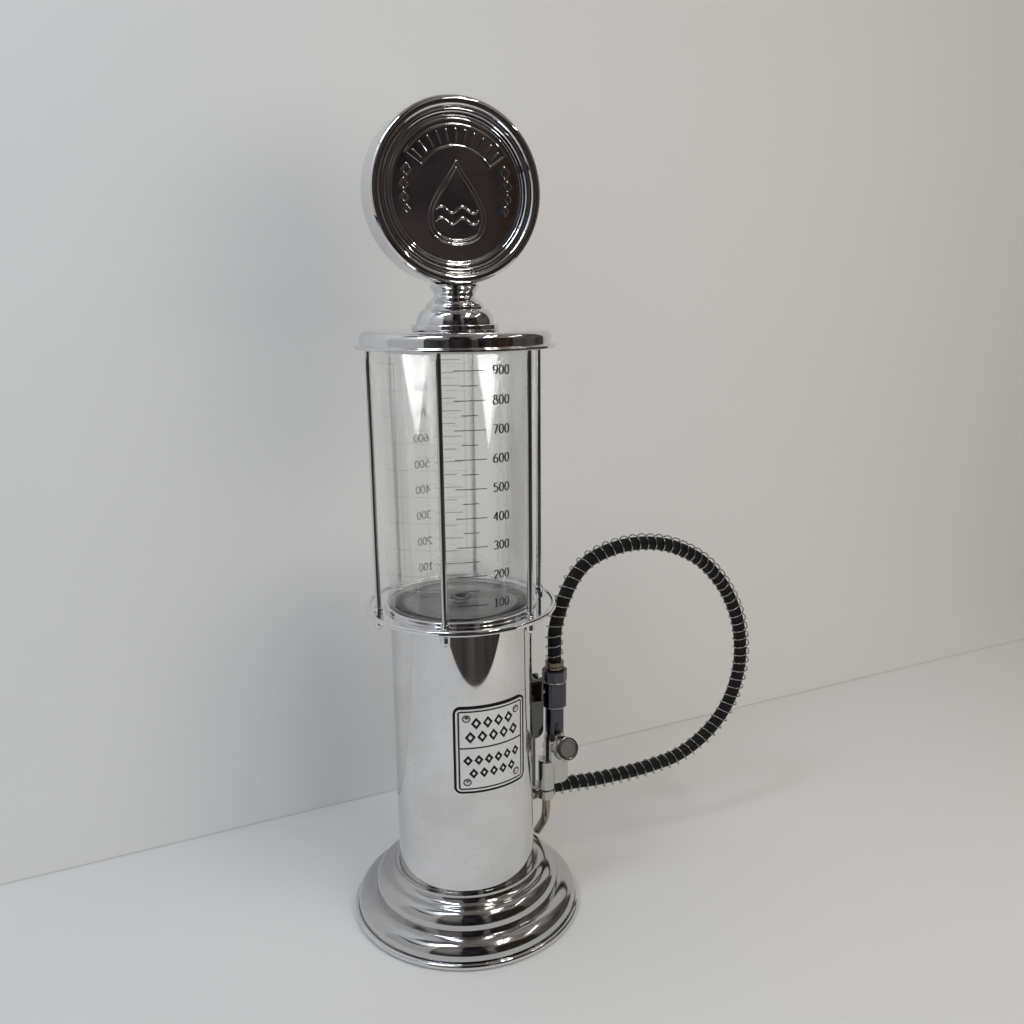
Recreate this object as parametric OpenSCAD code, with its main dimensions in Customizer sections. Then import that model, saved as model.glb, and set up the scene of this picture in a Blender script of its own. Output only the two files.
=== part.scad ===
// Counter-top drink dispenser in the shape of an old fuel pump.
// Millimetres, +Z up, origin at the middle of the underside, front towards -Y, tap on the +X side.

/* [Base] */
// Radius of the base plate over its rolled rim
base_r = 73.5; // [72.5:0.5:78]
// Thickness of the rolled rim
rim_d = 3.8; // [3.4:0.1:4.4]
// Thickness of the base plate
plate_t = 2.4; // [2.2:0.1:3]
// Thickness of the rubber pad
pad_t = 1.6; // [1.2:0.1:1.8]
// Width of the rubber pad ring
pad_w = 5; // [3:0.5:5]
// Distance of the rubber pad from the rolled rim
pad_inset = 1; // [0.5:0.5:2]
// How far the pad stands below the plate
pad_proud = 0.6; // [0.4:0.1:0.9]
// Radius of the lower swelling of the base shell
shell_r = 70.9; // [70:0.1:72]
// Height of the straight band under the lower swelling
shell_band = 1.2; // [0.8:0.1:3]
// Height of the lower swelling's rounding
shell_round = 9; // [8:0.5:10]
// Width of the lower swelling's rounding
shell_swell = 10.5; // [9:0.5:11]
// Width of the shell's foot on the plate
shell_foot = 7.5; // [6.5:0.5:8]
// Radius of the upper swelling of the base shell
step_r = 59.2; // [57:0.1:61]
// Height of the straight band under the upper swelling
step_band = 1.5; // [1:0.1:3]
// Height of the upper swelling's rounding
step_round = 10.5; // [9:0.5:12]
// Width of the upper swelling's rounding
step_swell = 8; // [7:0.5:8]
// Thickness of the metal beside the upper hollow
step_foot = 7; // [6:0.5:8]
// Radius of the hollow cove round the body's foot
cove = 5; // [4:0.1:5.5]
// Wall of the base shell
shell_wall = 2; // [1.5:0.1:3]
// Dark gap between the rolled rim and the shell
shell_gap = 0.4; // [0.3:0.1:1]
// Lip of the socket round the body
socket_lip = 2.4; // [1.8:0.1:2.8]
// Depth of the socket that holds the body
socket_depth = 7; // [5:0.5:9]
// Distance of the base screws' heads from the pad
base_screw_gap = 2.7; // [2.2:0.1:3.2]
// Diameter of a base screw
base_screw_d = 2.8; // [2.4:0.1:3.2]
// Diameter of a base screw's head
base_screw_head_d = 6; // [5:0.1:6.4]
// Height of a base screw's head
base_screw_head_h = 1.2; // [1:0.1:1.4]
// Length of a base screw under its head
base_screw_len = 8; // [6:0.5:8.5]

/* [Body] */
// Radius of the body tube
body_r = 43.5; // [42:0.1:44]
// Wall of the body tube
body_wall = 1.5; // [1:0.1:2.5]
// Length of the body tube
body_len = 178; // [165:1:190]

/* [Label] */
// Width of the label plate
label_w = 46.5; // [40:0.5:52]
// Height of the label plate
label_h = 55; // [45:0.5:65]
// Height of the label's middle above the table
label_z = 127; // [110:1:140]
// Turn of the label's middle from the front
label_turn = 3.5; // [-6:0.5:6]
// Thickness of the label plate
label_t = 0.7; // [0.5:0.1:1.2]
// Corner radius of the label plate
label_corner = 4; // [2:0.5:6]
// Diameter of a label rivet
rivet_d = 3; // [2:0.1:4]
// How far a rivet stands proud
rivet_h = 0.6; // [0.4:0.1:1]
// Distance of the rivets from the label's edges
rivet_inset = 7.2; // [5:0.2:8]

/* [Tray] */
// Radius of the tray
tray_r = 58.5; // [57:0.1:62]
// Thickness of the tray's floor
tray_t = 1.6; // [1.2:0.1:2.2]
// Width of the tray's raised rim
tray_rim_w = 2.8; // [2:0.1:3]
// Height of the tray's rim over its underside
tray_rim_h = 3; // [2.6:0.1:4]
// Height of the collar round the body's top
collar_h = 5; // [3:0.5:8]
// Wall of the collar
collar_t = 1.4; // [1:0.1:2]
// Width of the ring round the tank's foot
seat_w = 2.2; // [1.6:0.1:2.6]
// Height of the ring round the tank's foot over the tray's floor
seat_h = 2.4; // [1.5:0.1:4]

/* [Tank] */
// Outer radius of the tank at its top
tank_r = 46.9; // [46:0.1:47.2]
// Outer radius of the tank at its foot
tank_foot_r = 44.4; // [43.5:0.1:44.8]
// Height of the tank
tank_h = 152.4; // [140:0.2:165]
// Wall of the tank
tank_wall = 2; // [1.5:0.1:3]
// Thickness of the tank's floor
tank_floor = 2.5; // [2:0.1:4]
// Rounding of the tank's foot
tank_round = 4; // [2:0.5:5]
// Thickness of the gasket under the tank
gasket_t = 1; // [0.6:0.1:2]
// Width of the gasket under the tank
gasket_w = 6; // [3:0.5:10]
// Thickness of the gasket between tank and lid
top_gasket_t = 1.2; // [0.8:0.1:2]

/* [Rods] */
// Diameter of a rod
rod_d = 3.4; // [2.6:0.1:3.6]
// Radius of the circle of rods
rod_circle = 52.3; // [52:0.1:52.6]
// Diameter of a rod's foot collar
rod_collar_d = 5.4; // [4.6:0.1:5.6]
// Height of a rod's foot collar
rod_collar_h = 4; // [2:0.5:6]
// Diameter of the washer under the tray
washer_d = 8.3; // [7:0.1:9]
// Thickness of the washer under the tray
washer_t = 1.6; // [1:0.1:2.4]
// Diameter of a dome nut
dome_nut_d = 6; // [5.4:0.1:7]
// Straight height of a dome nut under its dome
dome_nut_h = 3.4; // [3:0.1:5]
// Depth of a rod's socket in the lid
rod_socket = 4; // [3:0.5:5]

/* [Lid] */
// Radius of the lid's flange
lid_r = 58.3; // [57.5:0.1:62]
// Thickness of the lid's flange
lid_flange_t = 2; // [1.5:0.1:3]
// Radius of the lid's side
lid_side_r = 55.4; // [55.2:0.1:57]
// Height of the lid
lid_h = 10; // [9:0.1:14]
// Rounding of the lid's edge
lid_round = 4; // [2:0.5:5]
// Thickness of the lid's top
lid_wall = 3; // [2.6:0.1:4]
// Width of the lid's land inside the tank's rim
lid_land = 1.5; // [0.5:0.1:3]
// Radius of the filler hole
filler_r = 19.3; // [18:0.1:21]

/* [Neck] */
// Radius of the disc under the neck
neck_disc_r = 25.3; // [24:0.1:28]
// Thickness of the disc under the neck
neck_disc_t = 3; // [2:0.1:4]
// Radius of the neck's dome
neck_dome_r = 22.4; // [21:0.1:24]
// Height of the neck's dome
neck_dome_h = 8.5; // [7:0.1:11]
// Radius of the ring on the dome
neck_ring_r = 17; // [16:0.1:19]
// Height of the ring on the dome
neck_ring_h = 1.6; // [1:0.1:3]
// Radius of the neck's waist
neck_waist_r = 11.8; // [10:0.1:13]
// Height from the ring up to the waist
neck_fall_h = 6; // [4:0.1:8]
// Radius of the neck's flared top
neck_top_r = 14.2; // [13:0.1:15]
// Height from the waist up to the flared top
neck_rise_h = 6; // [4:0.1:8]
// Length of the plug below the disc
plug_len = 12; // [8:0.5:14]
// Gap between the plug and the filler hole
plug_gap = 0.7; // [0.5:0.05:0.8]
// Height of the plug's hollow above the disc's top
neck_hollow = 4.2; // [3:0.1:5]
// Wall of the plug
plug_wall = 3; // [2.4:0.1:3.6]
// Thickness of the plug's seal ring
seal_d = 2; // [1.6:0.1:2.2]
// Diameter of the bolt from neck to head
neck_bolt_d = 5; // [4:0.1:5.2]
// Diameter of the bolt's head
bolt_head_d = 9; // [7:0.1:11]
// Width across the flats of the bolt's nut
bolt_nut_af = 8; // [7:0.1:8]
// How deep the head sits in the neck's saddle
head_sink = 0.6; // [0.4:0.1:1]

/* [Head] */
// Radius of the round head
head_r = 50.2; // [46:0.1:54]
// Thickness of the head over both bezels
head_t = 22; // [20:0.5:26]
// Thickness of the bezel's outer bead
bead_d = 6.4; // [5:0.1:7]
// Thickness of the bezel's inner bead
inner_bead_d = 3.2; // [2.8:0.1:3.4]
// Radius of the round face
face_r = 40.8; // [36:0.1:41]
// Depth of the face behind the bezel's front
face_depth = 3.6; // [3:0.1:5]
// Thickness of the face plate
face_t = 1.6; // [1:0.1:2]
// Width of the shelf behind the face plate
face_shelf = 2; // [1:0.5:5]
// Thickness of the shelf behind the face plate
face_shelf_t = 1.6; // [1:0.1:1.7]
// Wall of the head's shells
head_wall = 2; // [1.5:0.1:3]

/* [Drain] */
// Bore of the drain in the tank's floor
drain_d = 7; // [5:0.1:8]
// Outer diameter of the drain's threaded stem
drain_stem_d = 10; // [9.6:0.1:12]
// Diameter of the drain's flange in the tank
drain_flange_d = 13.5; // [13:0.1:18]
// Thickness of the drain's flange
drain_flange_t = 0.9; // [0.6:0.1:2]
// Length of the drain's stem below the tray
drain_drop = 15; // [12:0.5:20]
// Width across the flats of the drain nut
drain_nut_af = 15; // [14.5:0.1:18]
// Height of the drain nut
drain_nut_h = 6; // [4:0.5:8]

/* [Hose] */
// Outer diameter of the rubber hose
hose_d = 8.8; // [8:0.1:9]
// Outer diameter of the wire spring round the hose
spring_d = 12; // [11.9:0.1:12.6]
// Thickness of the spring's wire
wire_d = 0.95; // [0.7:0.05:1]
// How far the spring's middle line lies outside the hose's
spring_lift = 0.2; // [0:0.1:0.2]
// Number of turns of the wire spring
spring_turns = 70; // [40:1:74]
// Outer diameter of the tube inside the body
feed_d = 9; // [7:0.5:10]
// Bore of the hose outlet
outlet_bore = 4; // [3:0.1:5]
// Diameter of the outlet's threaded stem
outlet_stem_d = 7; // [6:0.1:8]
// Width across the flats of the outlet's hexagon
outlet_hex_af = 11; // [10:0.1:12]
// Length of the outlet's hexagon in front of the body's axis
outlet_hex_reach = 47.5; // [46:0.1:49]
// Diameter of the ferrule at the outlet
outlet_ferrule_d = 12.4; // [12:0.1:13]
// Thickness of the outlet's nut inside the body
outlet_nut_t = 4; // [3:0.1:5]

/* [Holster] */
// Width of the holster
holster_w = 11; // [11:0.5:14]
// Thickness of the slot's lip in front of the pin's head
slot_lip = 2.2; // [1.8:0.1:3]
// Height of the saddle's lower end above the table
saddle_z = 70; // [69:0.5:76]
// Thickness of the saddle on the body
saddle_t = 4; // [3.4:0.1:4.4]
// Height of the block's rounded lower end above the table
block_z = 106; // [105:0.5:107]
// Rounding of the block's lower end
block_tip_r = 6; // [4:0.5:6.5]
// Height of the holster's top above the table
holster_top = 147; // [145:0.5:148]
// Height of the upper holster screw above the table
upper_screw_z = 121; // [119:0.5:123]
// Height of the lower holster screw above the table
lower_screw_z = 84; // [82:0.5:90]
// Diameter of a holster screw
holster_screw_d = 3.8; // [3:0.1:4]
// Diameter of a holster screw's head
holster_screw_head_d = 7; // [6:0.1:8]
// Thickness of a holster screw's head
holster_screw_head_t = 2.2; // [1.6:0.1:3]
// Metal left in front of a holster screw
screw_cover = 1; // [0.8:0.1:1.5]

/* [Tap] */
// Distance of the tap's barrel from the body's axis
tap_x = 63.5; // [63.3:0.1:66]
// Height of the tap's hose end above the table
tap_top = 156; // [155:0.5:157]
// Diameter of the ferrule at the hose end
ferrule_d = 12.4; // [12:0.1:12.8]
// Length of the ferrule
ferrule_h = 5.3; // [4:0.1:6]
// Width across the flats of the coupling nut
coupling_af = 15.2; // [14.8:0.1:15.6]
// Turned diameter at the coupling nut's lower end
coupling_low_d = 17; // [16.4:0.1:17.6]
// Turned diameter at the coupling nut's upper end
coupling_high_d = 15.8; // [15.6:0.1:16.2]
// Length of the coupling nut
coupling_h = 9; // [8:0.1:10]
// Diameter of the sleeve
sleeve_d = 15.8; // [15:0.1:16]
// Length of the sleeve
sleeve_h = 17; // [15:0.1:18]
// Diameter of the barrel
barrel_d = 12.3; // [11:0.1:12.6]
// Bore of the barrel
barrel_bore = 5; // [4:0.1:6]
// Height of the valve body's top above the table
valve_top = 106.4; // [106:0.1:107]
// Height of the round head's lower end above the table
valve_head_z = 84; // [80:0.5:86]
// Diameter of the valve body's round head
valve_head_d = 14.4; // [14:0.1:14.6]
// Height of the valve body's sloped shoulder
shoulder_h = 5; // [3:0.1:6]
// Distance of the outlet pipe from the body's axis
pipe_x = 57.4; // [57.2:0.1:58.4]
// Diameter of the outlet pipe
pipe_d = 11.2; // [10.6:0.1:11.4]
// Height of the outlet pipe's lower end above the table
pipe_z = 66.5; // [66:0.1:68]
// Length of the outlet pipe
pipe_h = 21; // [18:0.5:22]
// Reach of the valve block's outer face from the body's axis
block_reach = 72.5; // [71.5:0.1:74]
// Depth of the valve block
block_depth = 8; // [7:0.1:9]
// Reach of the valve block's front face from the barrel's axis
block_front = 2.4; // [2:0.1:3]
// Height of the valve block's lower edge above the table
block_foot = 68.5; // [68:0.1:71]
// Height of the valve block's upper edge above the table
block_top = 90; // [88:0.5:92]
// Rounding of the valve block's lower corner
block_round = 4; // [2:0.1:5]
// Diameter of the hang pin
pin_d = 4; // [3:0.1:4.4]
// Diameter of the hang pin's head
pin_head_d = 7; // [6:0.1:7.4]
// Thickness of the hang pin's head
pin_head_t = 2; // [1.6:0.1:2.2]
// Distance of the pin's head from the saddle
pin_head_gap = 1.2; // [0.8:0.1:1.4]
// Wall left between the pin's tip and the barrel's bore
pin_tip_wall = 0.8; // [0.6:0.1:1.5]
// Height of the hang pin above the table
pin_z = 136; // [134.5:0.5:137]

/* [Spout] */
// Width across the flats of the spout nut
spout_nut_af = 10; // [9.6:0.1:10.6]
// Height of the spout nut
spout_nut_h = 6.5; // [5:0.1:7]
// Diameter of the spout nut's neck
spout_neck_d = 8.5; // [7.6:0.1:8.8]
// Groove between outlet pipe and spout nut
spout_groove = 0.7; // [0.5:0.1:1]
// Diameter of the spout tube
spout_d = 5.6; // [5.2:0.1:5.8]
// Wall of the spout tube
spout_wall = 0.6; // [0.4:0.1:0.8]
// Straight length of the spout below its nut
spout_straight = 5.5; // [5:0.5:6.5]
// Bend of the spout
spout_bend = 38; // [20:1:45]
// Bend radius of the spout's middle line
spout_bend_r = 26; // [20:0.5:28]
// Straight length of the spout's tip
spout_tip = 14.5; // [10:0.5:14.5]

/* [Button] */
// Tilt of the button's axis above the level
button_tilt = 20; // [16:1:24]
// Height where the button's axis meets the barrel's axis
button_z = 94.9; // [94:0.1:96]
// Diameter of the boss that holds the bonnet
boss_d = 10.4; // [9.6:0.1:11]
// Distance from the barrel's axis to the bonnet's shoulder
boss_reach = 9.7; // [9.6:0.1:10]
// Diameter of the bonnet's front
bonnet_d = 13.6; // [13.4:0.1:13.8]
// Distance from the barrel's axis to the bonnet's front
bonnet_reach = 18.5; // [18:0.1:19]
// Length of the bonnet's straight front
bonnet_front = 4.5; // [4:0.1:5]
// Outer diameter of the knurled bezel ring
bezel_d = 15.6; // [15.4:0.1:16.8]
// Distance from the barrel's axis to the bezel ring's front
bezel_reach = 21.7; // [21.5:0.1:22.5]
// Thickness of the bezel ring's lip
bezel_lip = 1.1; // [0.8:0.1:1.2]
// Diameter of the opening in the bezel ring
bezel_opening = 11.2; // [10.8:0.1:11.2]
// Wall of the bonnet round the button
bonnet_wall = 0.6; // [0.5:0.1:0.6]
// Number of knurls on the bezel ring
knurl_n = 30; // [16:1:40]
// Width of a knurl
knurl_w = 0.8; // [0.5:0.1:1]
// Depth of a knurl
knurl_depth = 0.3; // [0.2:0.05:0.35]
// Travel of the button
button_travel = 2.5; // [1.5:0.1:2.6]
// How far the button stands proud of the bezel ring
button_proud = 0.3; // [0:0.1:0.6]
// Diameter of the plunger's stem
stem_d = 2.8; // [2.4:0.1:3]
// Diameter of the plunger's end head
plunger_head_d = 4.4; // [3.6:0.1:5]
// Diameter of the plunger's seal
plunger_seal_d = 5.8; // [5.2:0.1:6]
// Bore of the valve seat
seat_bore = 3.8; // [3.4:0.1:4.4]
// Thickness of the plunger's seal
plunger_seal_t = 1.5; // [1:0.1:1.8]

/* [Clearances] */
// Gap between pieces that fit inside each other
fit = 0.15; // [0.1:0.05:0.2]
// Gap between a piece and the round wall that it lies on
skin = 0.05; // [0.03:0.01:0.1]
// Gap between pieces that move past each other
play = 0.3; // [0.2:0.05:0.35]

/* [Hidden] */
$fn = 96;
over = 1;
chrome = "gainsboro";
steel = "silver";
rubber = "#222222";

// Base
shell_z = pad_proud + rim_d + shell_gap;
shell_top = shell_z + shell_band + shell_round;
step_top = shell_top + step_band + step_round;
base_top = step_top + cove;
plate_top = pad_proud + plate_t;
rim_inner_r = base_r - rim_d;
pad_r = rim_inner_r - pad_inset;
socket_r = body_r + fit;
lip_r = socket_r + socket_lip;
base_screw_n = 4;
base_screw_turn = 45;
boss_wall = 2.6;
base_screw_circle = min(
    pad_r - pad_w - base_screw_gap - base_screw_head_d / 2,
    shell_r - shell_foot - base_screw_d / 2 - boss_wall
);
base_screw_key = 0.6;

// Body and tray
body_z = base_top - socket_depth;
body_top = body_z + body_len;
body_in_r = body_r - body_wall;
label_face_r = body_r + skin + label_t;
tray_floor_z = body_top + tray_t;
ledge_w = 2.5;

// Tank and lid
tank_z = tray_floor_z + gasket_t;
tank_top = tank_z + tank_h;
lid_z = tank_top + top_gasket_t;
lid_top = lid_z + lid_h;
lid_bore_r = tank_r - tank_wall - lid_land;
rod_n = 6;
rod_bottom = body_top - washer_t - dome_nut_h;

// Cap
disc_z = lid_top + play;
dome_z = disc_z + neck_disc_t;
ring_z = dome_z + neck_dome_h;
fall_z = ring_z + neck_ring_h;
waist_z = fall_z + neck_fall_h;
neck_top_z = waist_z + neck_rise_h;
head_z = neck_top_z + head_r - head_sink;
plug_r = filler_r - plug_gap;
plug_in_r = plug_r - plug_wall;
seal_r = filler_r - play - seal_d / 2;
neck_roof_z = dome_z + neck_hollow;
bolt_head_t = 3;
bolt_nut_t = 4;
neck_ring_step = 0.6;
neck_saddle_r = 13;
neck_saddle_h = 3;
bolt_tip = 2;
drum_in_r = head_r - head_wall;
bolt_nut_z = head_z - sqrt(pow(drum_in_r, 2) - pow(bolt_nut_af / 2 / cos(30), 2)) + skin;
head_front_d = head_t / 2;
bead_r = bead_d / 2;
inner_bead_r = inner_bead_d / 2;
face_front_d = head_front_d - face_depth;
drum_d = face_front_d - face_t;

// Drain and hose outlet
drain_end_z = body_top - drain_drop;
outlet_y = 13;
outlet_z = 58;
outlet_end_x = 56;
outlet_inner_x = 30;

// Holster and tap
coupling_z = tap_top - ferrule_h - coupling_h;
sleeve_z = coupling_z - sleeve_h;
slot_gap = play + 0.1;
pin_head_x = body_r + saddle_t + pin_head_gap;
slot_neck = pin_head_x + pin_head_t + play;
holster_reach = slot_neck + slot_lip;
pin_tip_x = tap_x - barrel_bore / 2 - pin_tip_wall;
spout_nut_top = pipe_z - spout_groove;
spout_nut_z = spout_nut_top - spout_nut_h;
chamber_r = 3.4;
chamber_back = -7.3;
chamber_front = 2;
back_wall = 1.8;
seat_back = -1.7;
seat_t = 1.2;
spring_floor = 10.5;
spring_room_r = 3.8;
button_bore_r = bonnet_d / 2 - bonnet_wall;
flange_r = button_bore_r - play;
flange_front = bezel_reach - bezel_lip - play;
flange_t = 2.3;
flange_back = flange_front - flange_t;
button_floor = flange_back - button_travel - play;
face_button_r = bezel_opening / 2 - play;
inlet_d = 3.2;
inlet_back = 4.7;
plunger_head_t = 1;
knurl_margin = 1;

// Middle line of the hose, from the tap's ferrule round the loop to the outlet on the body
hose_route = [
    [63.5, 0, 156.05], [63.5, 0, 166], [64, 0.5, 176], [67, 1, 187], [71.5, 1.5, 198], [78, 2, 209],
    [87, 2.5, 218], [98, 3, 223], [110, 3, 226], [123, 3.5, 227], [136, 4, 226], [150, 4, 223],
    [164, 4.5, 217], [177, 5, 209], [188, 5.5, 199], [198, 6, 187], [206, 6, 173], [212, 6.5, 158],
    [215, 7, 143], [216, 7.5, 129], [214, 8, 114], [209, 8.5, 99], [201, 9, 86], [190, 9.5, 75],
    [177, 10, 66.5], [163, 10.5, 61], [148, 11, 58.5], [132, 11.5, 57], [116, 12, 56.5], [100, 12.5, 56.5],
    [84, 13, 57.5], [70, 13, 58], [63, 13, 58], [56, 13, 58]
];
// Middle line of the tube inside the body, from the drain to the hose outlet
feed_route = [
    [0, 0, 188], [0, 0, 172], [0, 1, 150], [2, 3, 125], [3, 6, 100], [5, 10, 78], [12, 13, 63],
    [22, 13, 58], [30, 13, 58]
];
hose_sides = 10;
feed_sides = 8;
wire_sides = 6;
spout_sides = 12;
spout_steps = 6;
rings_per_turn = 8;
hose_steps = 2;
feed_steps = 3;

// Points of an arc
function arc(c, r, from, to, n = 12) =
    [for (i = [0:n]) let (a = from + (to - from) * i / n) c + r * [cos(a), sin(a)]];

// Quarter of an ellipse, from its outer end up and inwards
function swelling(p, w, h, n = 12) =
    [for (i = [0:n]) p + [w * (cos(90 * i / n) - 1), h * sin(90 * i / n)]];

// Half-cosine blend from a to b as t goes from 0 to 1
function ease(a, b, t) = a + (b - a) * (1 - cos(180 * t)) / 2;

function unit(v) = v / norm(v);

// Catmull-Rom curve through the route's points; u counts the points
function route_at(p, u) =
    let (
        last = len(p) - 1,
        i = min(floor(u), last - 1),
        t = u - i,
        b = p[i],
        c = p[i + 1],
        a = i > 0 ? p[i - 1] : 2 * b - c,
        d = i + 2 <= last ? p[i + 2] : 2 * c - b
    )
    0.5 * (2 * b + (c - a) * t + (2 * a - 5 * b + 4 * c - d) * t * t
        + (3 * b - a - 3 * c + d) * t * t * t);

function heading_at(p, u) =
    let (h = 0.02, last = len(p) - 1)
    unit(route_at(p, min(u + h, last)) - route_at(p, max(u - h, 0)));

// Two directions square to the route, the first as near to +Y as can be
function side_at(p, u) = let (t = heading_at(p, u), y = [0, 1, 0]) unit(y - (y * t) * t);

function up_at(p, u) = cross(heading_at(p, u), side_at(p, u));

// Lengths from the route's start to points along it, as pairs of length and place
function lengths(p, steps, i = 0, so_far = 0, got = []) =
    i > (len(p) - 1) * steps
        ? got
        : let (
            here = route_at(p, i / steps),
            before = route_at(p, max(i - 1, 0) / steps),
            total = so_far + norm(here - before)
        )
        lengths(p, steps, i + 1, total, concat(got, [[total, i / steps]]));

hose_table = lengths(hose_route, 8);
hose_len = hose_table[len(hose_table) - 1][0];

// Middle line of the spout, longer by extra at both ends
function spout_line(extra) =
    let (
        bend_z = spout_nut_z - spout_straight,
        bend = [
            for (i = [0:spout_steps])
                let (a = spout_bend * i / spout_steps)
                [pipe_x, spout_bend_r * (1 - cos(a)), bend_z - spout_bend_r * sin(a)]
        ],
        tip_way = [0, sin(spout_bend), -cos(spout_bend)]
    )
    concat([[pipe_x, 0, pipe_z + extra]], bend, [bend[spout_steps] + (spout_tip + extra) * tip_way]);

// Wire spring: straight for one wire's thickness at each end, and a helix between
wire_turn_r = (spring_d - wire_d) / 2;
wire_rings = spring_turns * rings_per_turn;
wire_lead = 1.5 * wire_d;
lift_len = 20;
wire_places = concat(
    [[0, 0]],
    [for (i = [0:wire_rings]) [wire_lead + (hose_len - 2 * wire_lead) * i / wire_rings, i]],
    [[hose_len, wire_rings]]
);

function wire_out(w) =
    let (u = lookup(w[0], hose_table), a = 360 * w[1] / rings_per_turn)
    side_at(hose_route, u) * cos(a) + up_at(hose_route, u) * sin(a);

// The hose lies against the spring on the inner side of the loop, except at its ends
function wire_at(w) =
    let (u = lookup(w[0], hose_table), lift = spring_lift * min(1, min(w[0], hose_len - w[0]) / lift_len))
    route_at(hose_route, u) + lift * up_at(hose_route, u) + wire_turn_r * wire_out(w);

wire_points = [for (w = wire_places) wire_at(w)];

wire_gap = min([
    for (i = [0:len(wire_points) - rings_per_turn - 3])
        for (k = [rings_per_turn - 2:rings_per_turn + 2])
            norm(wire_points[i] - wire_points[i + k])
]) - wire_d;
echo(hose_length = hose_len, least_gap_of_the_spring_to_itself = wire_gap);

// Closed tube through rings of points, with flat ends
module tube(rings, sides) {
    n = len(rings);
    points = [for (r = rings) each r];
    walls = [
        for (i = [0:n - 2])
            for (j = [0:sides - 1])
                let (k = (j + 1) % sides, a = i * sides, b = a + sides)
                each [[a + j, b + k, a + k], [a + j, b + j, b + k]]
    ];
    start = [for (j = [1:sides - 2]) [0, j, j + 1]];
    end = [for (j = [1:sides - 2]) let (e = (n - 1) * sides) [e, e + j + 1, e + j]];
    polyhedron(points, concat(walls, start, end), convexity = 10);
}

// Round tube along a route
module cord(route, d, sides, steps) {
    tube([
        for (i = [0:(len(route) - 1) * steps])
            let (u = i / steps, c = route_at(route, u), s = side_at(route, u), w = up_at(route, u))
            [for (j = [0:sides - 1]) c + d / 2 * (s * cos(360 * j / sides) + w * sin(360 * j / sides))]
    ], sides);
}

module ring(r_in, r_out, h) {
    difference() {
        cylinder(r = r_out, h = h);
        translate([0, 0, -over]) cylinder(r = r_in, h = h + 2 * over);
    }
}

module hexagon(af, h) {
    cylinder(d = af / cos(30), h = h, $fn = 6);
}

// Places for what repeats round the axis
module round_axis(n, r, turn) {
    for (i = [0:n - 1]) rotate([0, 0, turn + 360 * i / n]) translate([r, 0, 0]) children();
}

module at_rods() {
    round_axis(rod_n, rod_circle, 0) children();
}

module at_base_screws() {
    round_axis(base_screw_n, base_screw_circle, base_screw_turn) children();
}

// Local +Z along the button's axis, from the barrel's axis outwards
module on_button_axis() {
    translate([tap_x, 0, button_z]) rotate([90 - button_tilt, 0, 0]) children();
}

// Local +Z towards the front, from the head's middle
module on_head_axis(side) {
    translate([0, 0, head_z]) rotate([90 * side, 0, 0]) children();
}

// Local +Z along +X, at a height on the body's side
module on_side(y, z) {
    translate([0, y, z]) rotate([0, 90, 0]) children();
}

module base_pad() color(rubber) {
    ring(pad_r - pad_w, pad_r, pad_t);
}

module base_plate() color(chrome) {
    difference() {
        rotate_extrude() union() {
            translate([0, pad_proud]) square([base_r - rim_d / 2, plate_t]);
            translate([base_r - rim_d / 2, pad_proud + rim_d / 2]) circle(d = rim_d);
        }
        translate([0, 0, pad_proud - over])
            ring(pad_r - pad_w - fit, pad_r + fit, pad_t - pad_proud + over);
        at_base_screws() {
            cylinder(d = base_screw_head_d + 2 * play, h = pad_proud + base_screw_head_h);
            cylinder(d = base_screw_d + 2 * fit, h = plate_top + over);
        }
    }
}

module base_shell() color(chrome) {
    low_r = shell_r - shell_foot;
    high_r = step_r - step_foot;
    foot_r = rim_inner_r - play;
    bore_r = body_in_r - ledge_w / 2;
    ledge_z = body_z - shell_wall;
    difference() {
        union() {
            rotate_extrude() difference() {
                polygon(concat(
                    [[0, plate_top], [foot_r, plate_top], [foot_r, shell_z], [shell_r, shell_z]],
                    swelling([shell_r, shell_z + shell_band], shell_swell, shell_round),
                    [[step_r, shell_top]],
                    swelling([step_r, shell_top + step_band], step_swell, step_round),
                    arc([lip_r + cove, step_top + cove], cove, 270, 180),
                    [[0, base_top]]
                ));
                square([low_r, shell_top - shell_wall]);
                translate([0, plate_top]) square([bore_r, base_top]);
                translate([0, body_z]) square([socket_r, base_top]);
                translate([0, plate_top]) square([high_r, ledge_z - plate_top]);
                translate([lip_r, plate_top]) square([high_r - lip_r, step_top - shell_wall - plate_top]);
            }
            at_base_screws() translate([0, 0, plate_top])
                cylinder(d = base_screw_d + 2 * boss_wall, h = shell_top - shell_wall + over / 2 - plate_top);
        }
        at_base_screws() translate([0, 0, pad_proud + base_screw_head_h])
            cylinder(d = base_screw_d + 2 * fit, h = base_screw_len + play);
    }
}

module base_screws() color(steel) {
    at_base_screws() {
        translate([0, 0, pad_proud]) difference() {
            cylinder(d = base_screw_head_d, h = base_screw_head_h);
            translate([0, 0, -over]) cylinder(d = base_screw_d, h = over + base_screw_key, $fn = 6);
        }
        translate([0, 0, pad_proud + base_screw_head_h]) cylinder(d = base_screw_d, h = base_screw_len);
    }
}

module body_tube() color(chrome) {
    difference() {
        translate([0, 0, body_z]) ring(body_in_r, body_r, body_len);
        on_side(outlet_y, outlet_z) cylinder(d = outlet_stem_d + 2 * fit, h = body_r + over);
        for (z = [lower_screw_z, upper_screw_z])
            on_side(0, z) cylinder(d = holster_screw_d + 2 * fit, h = body_r + over);
    }
}

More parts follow.
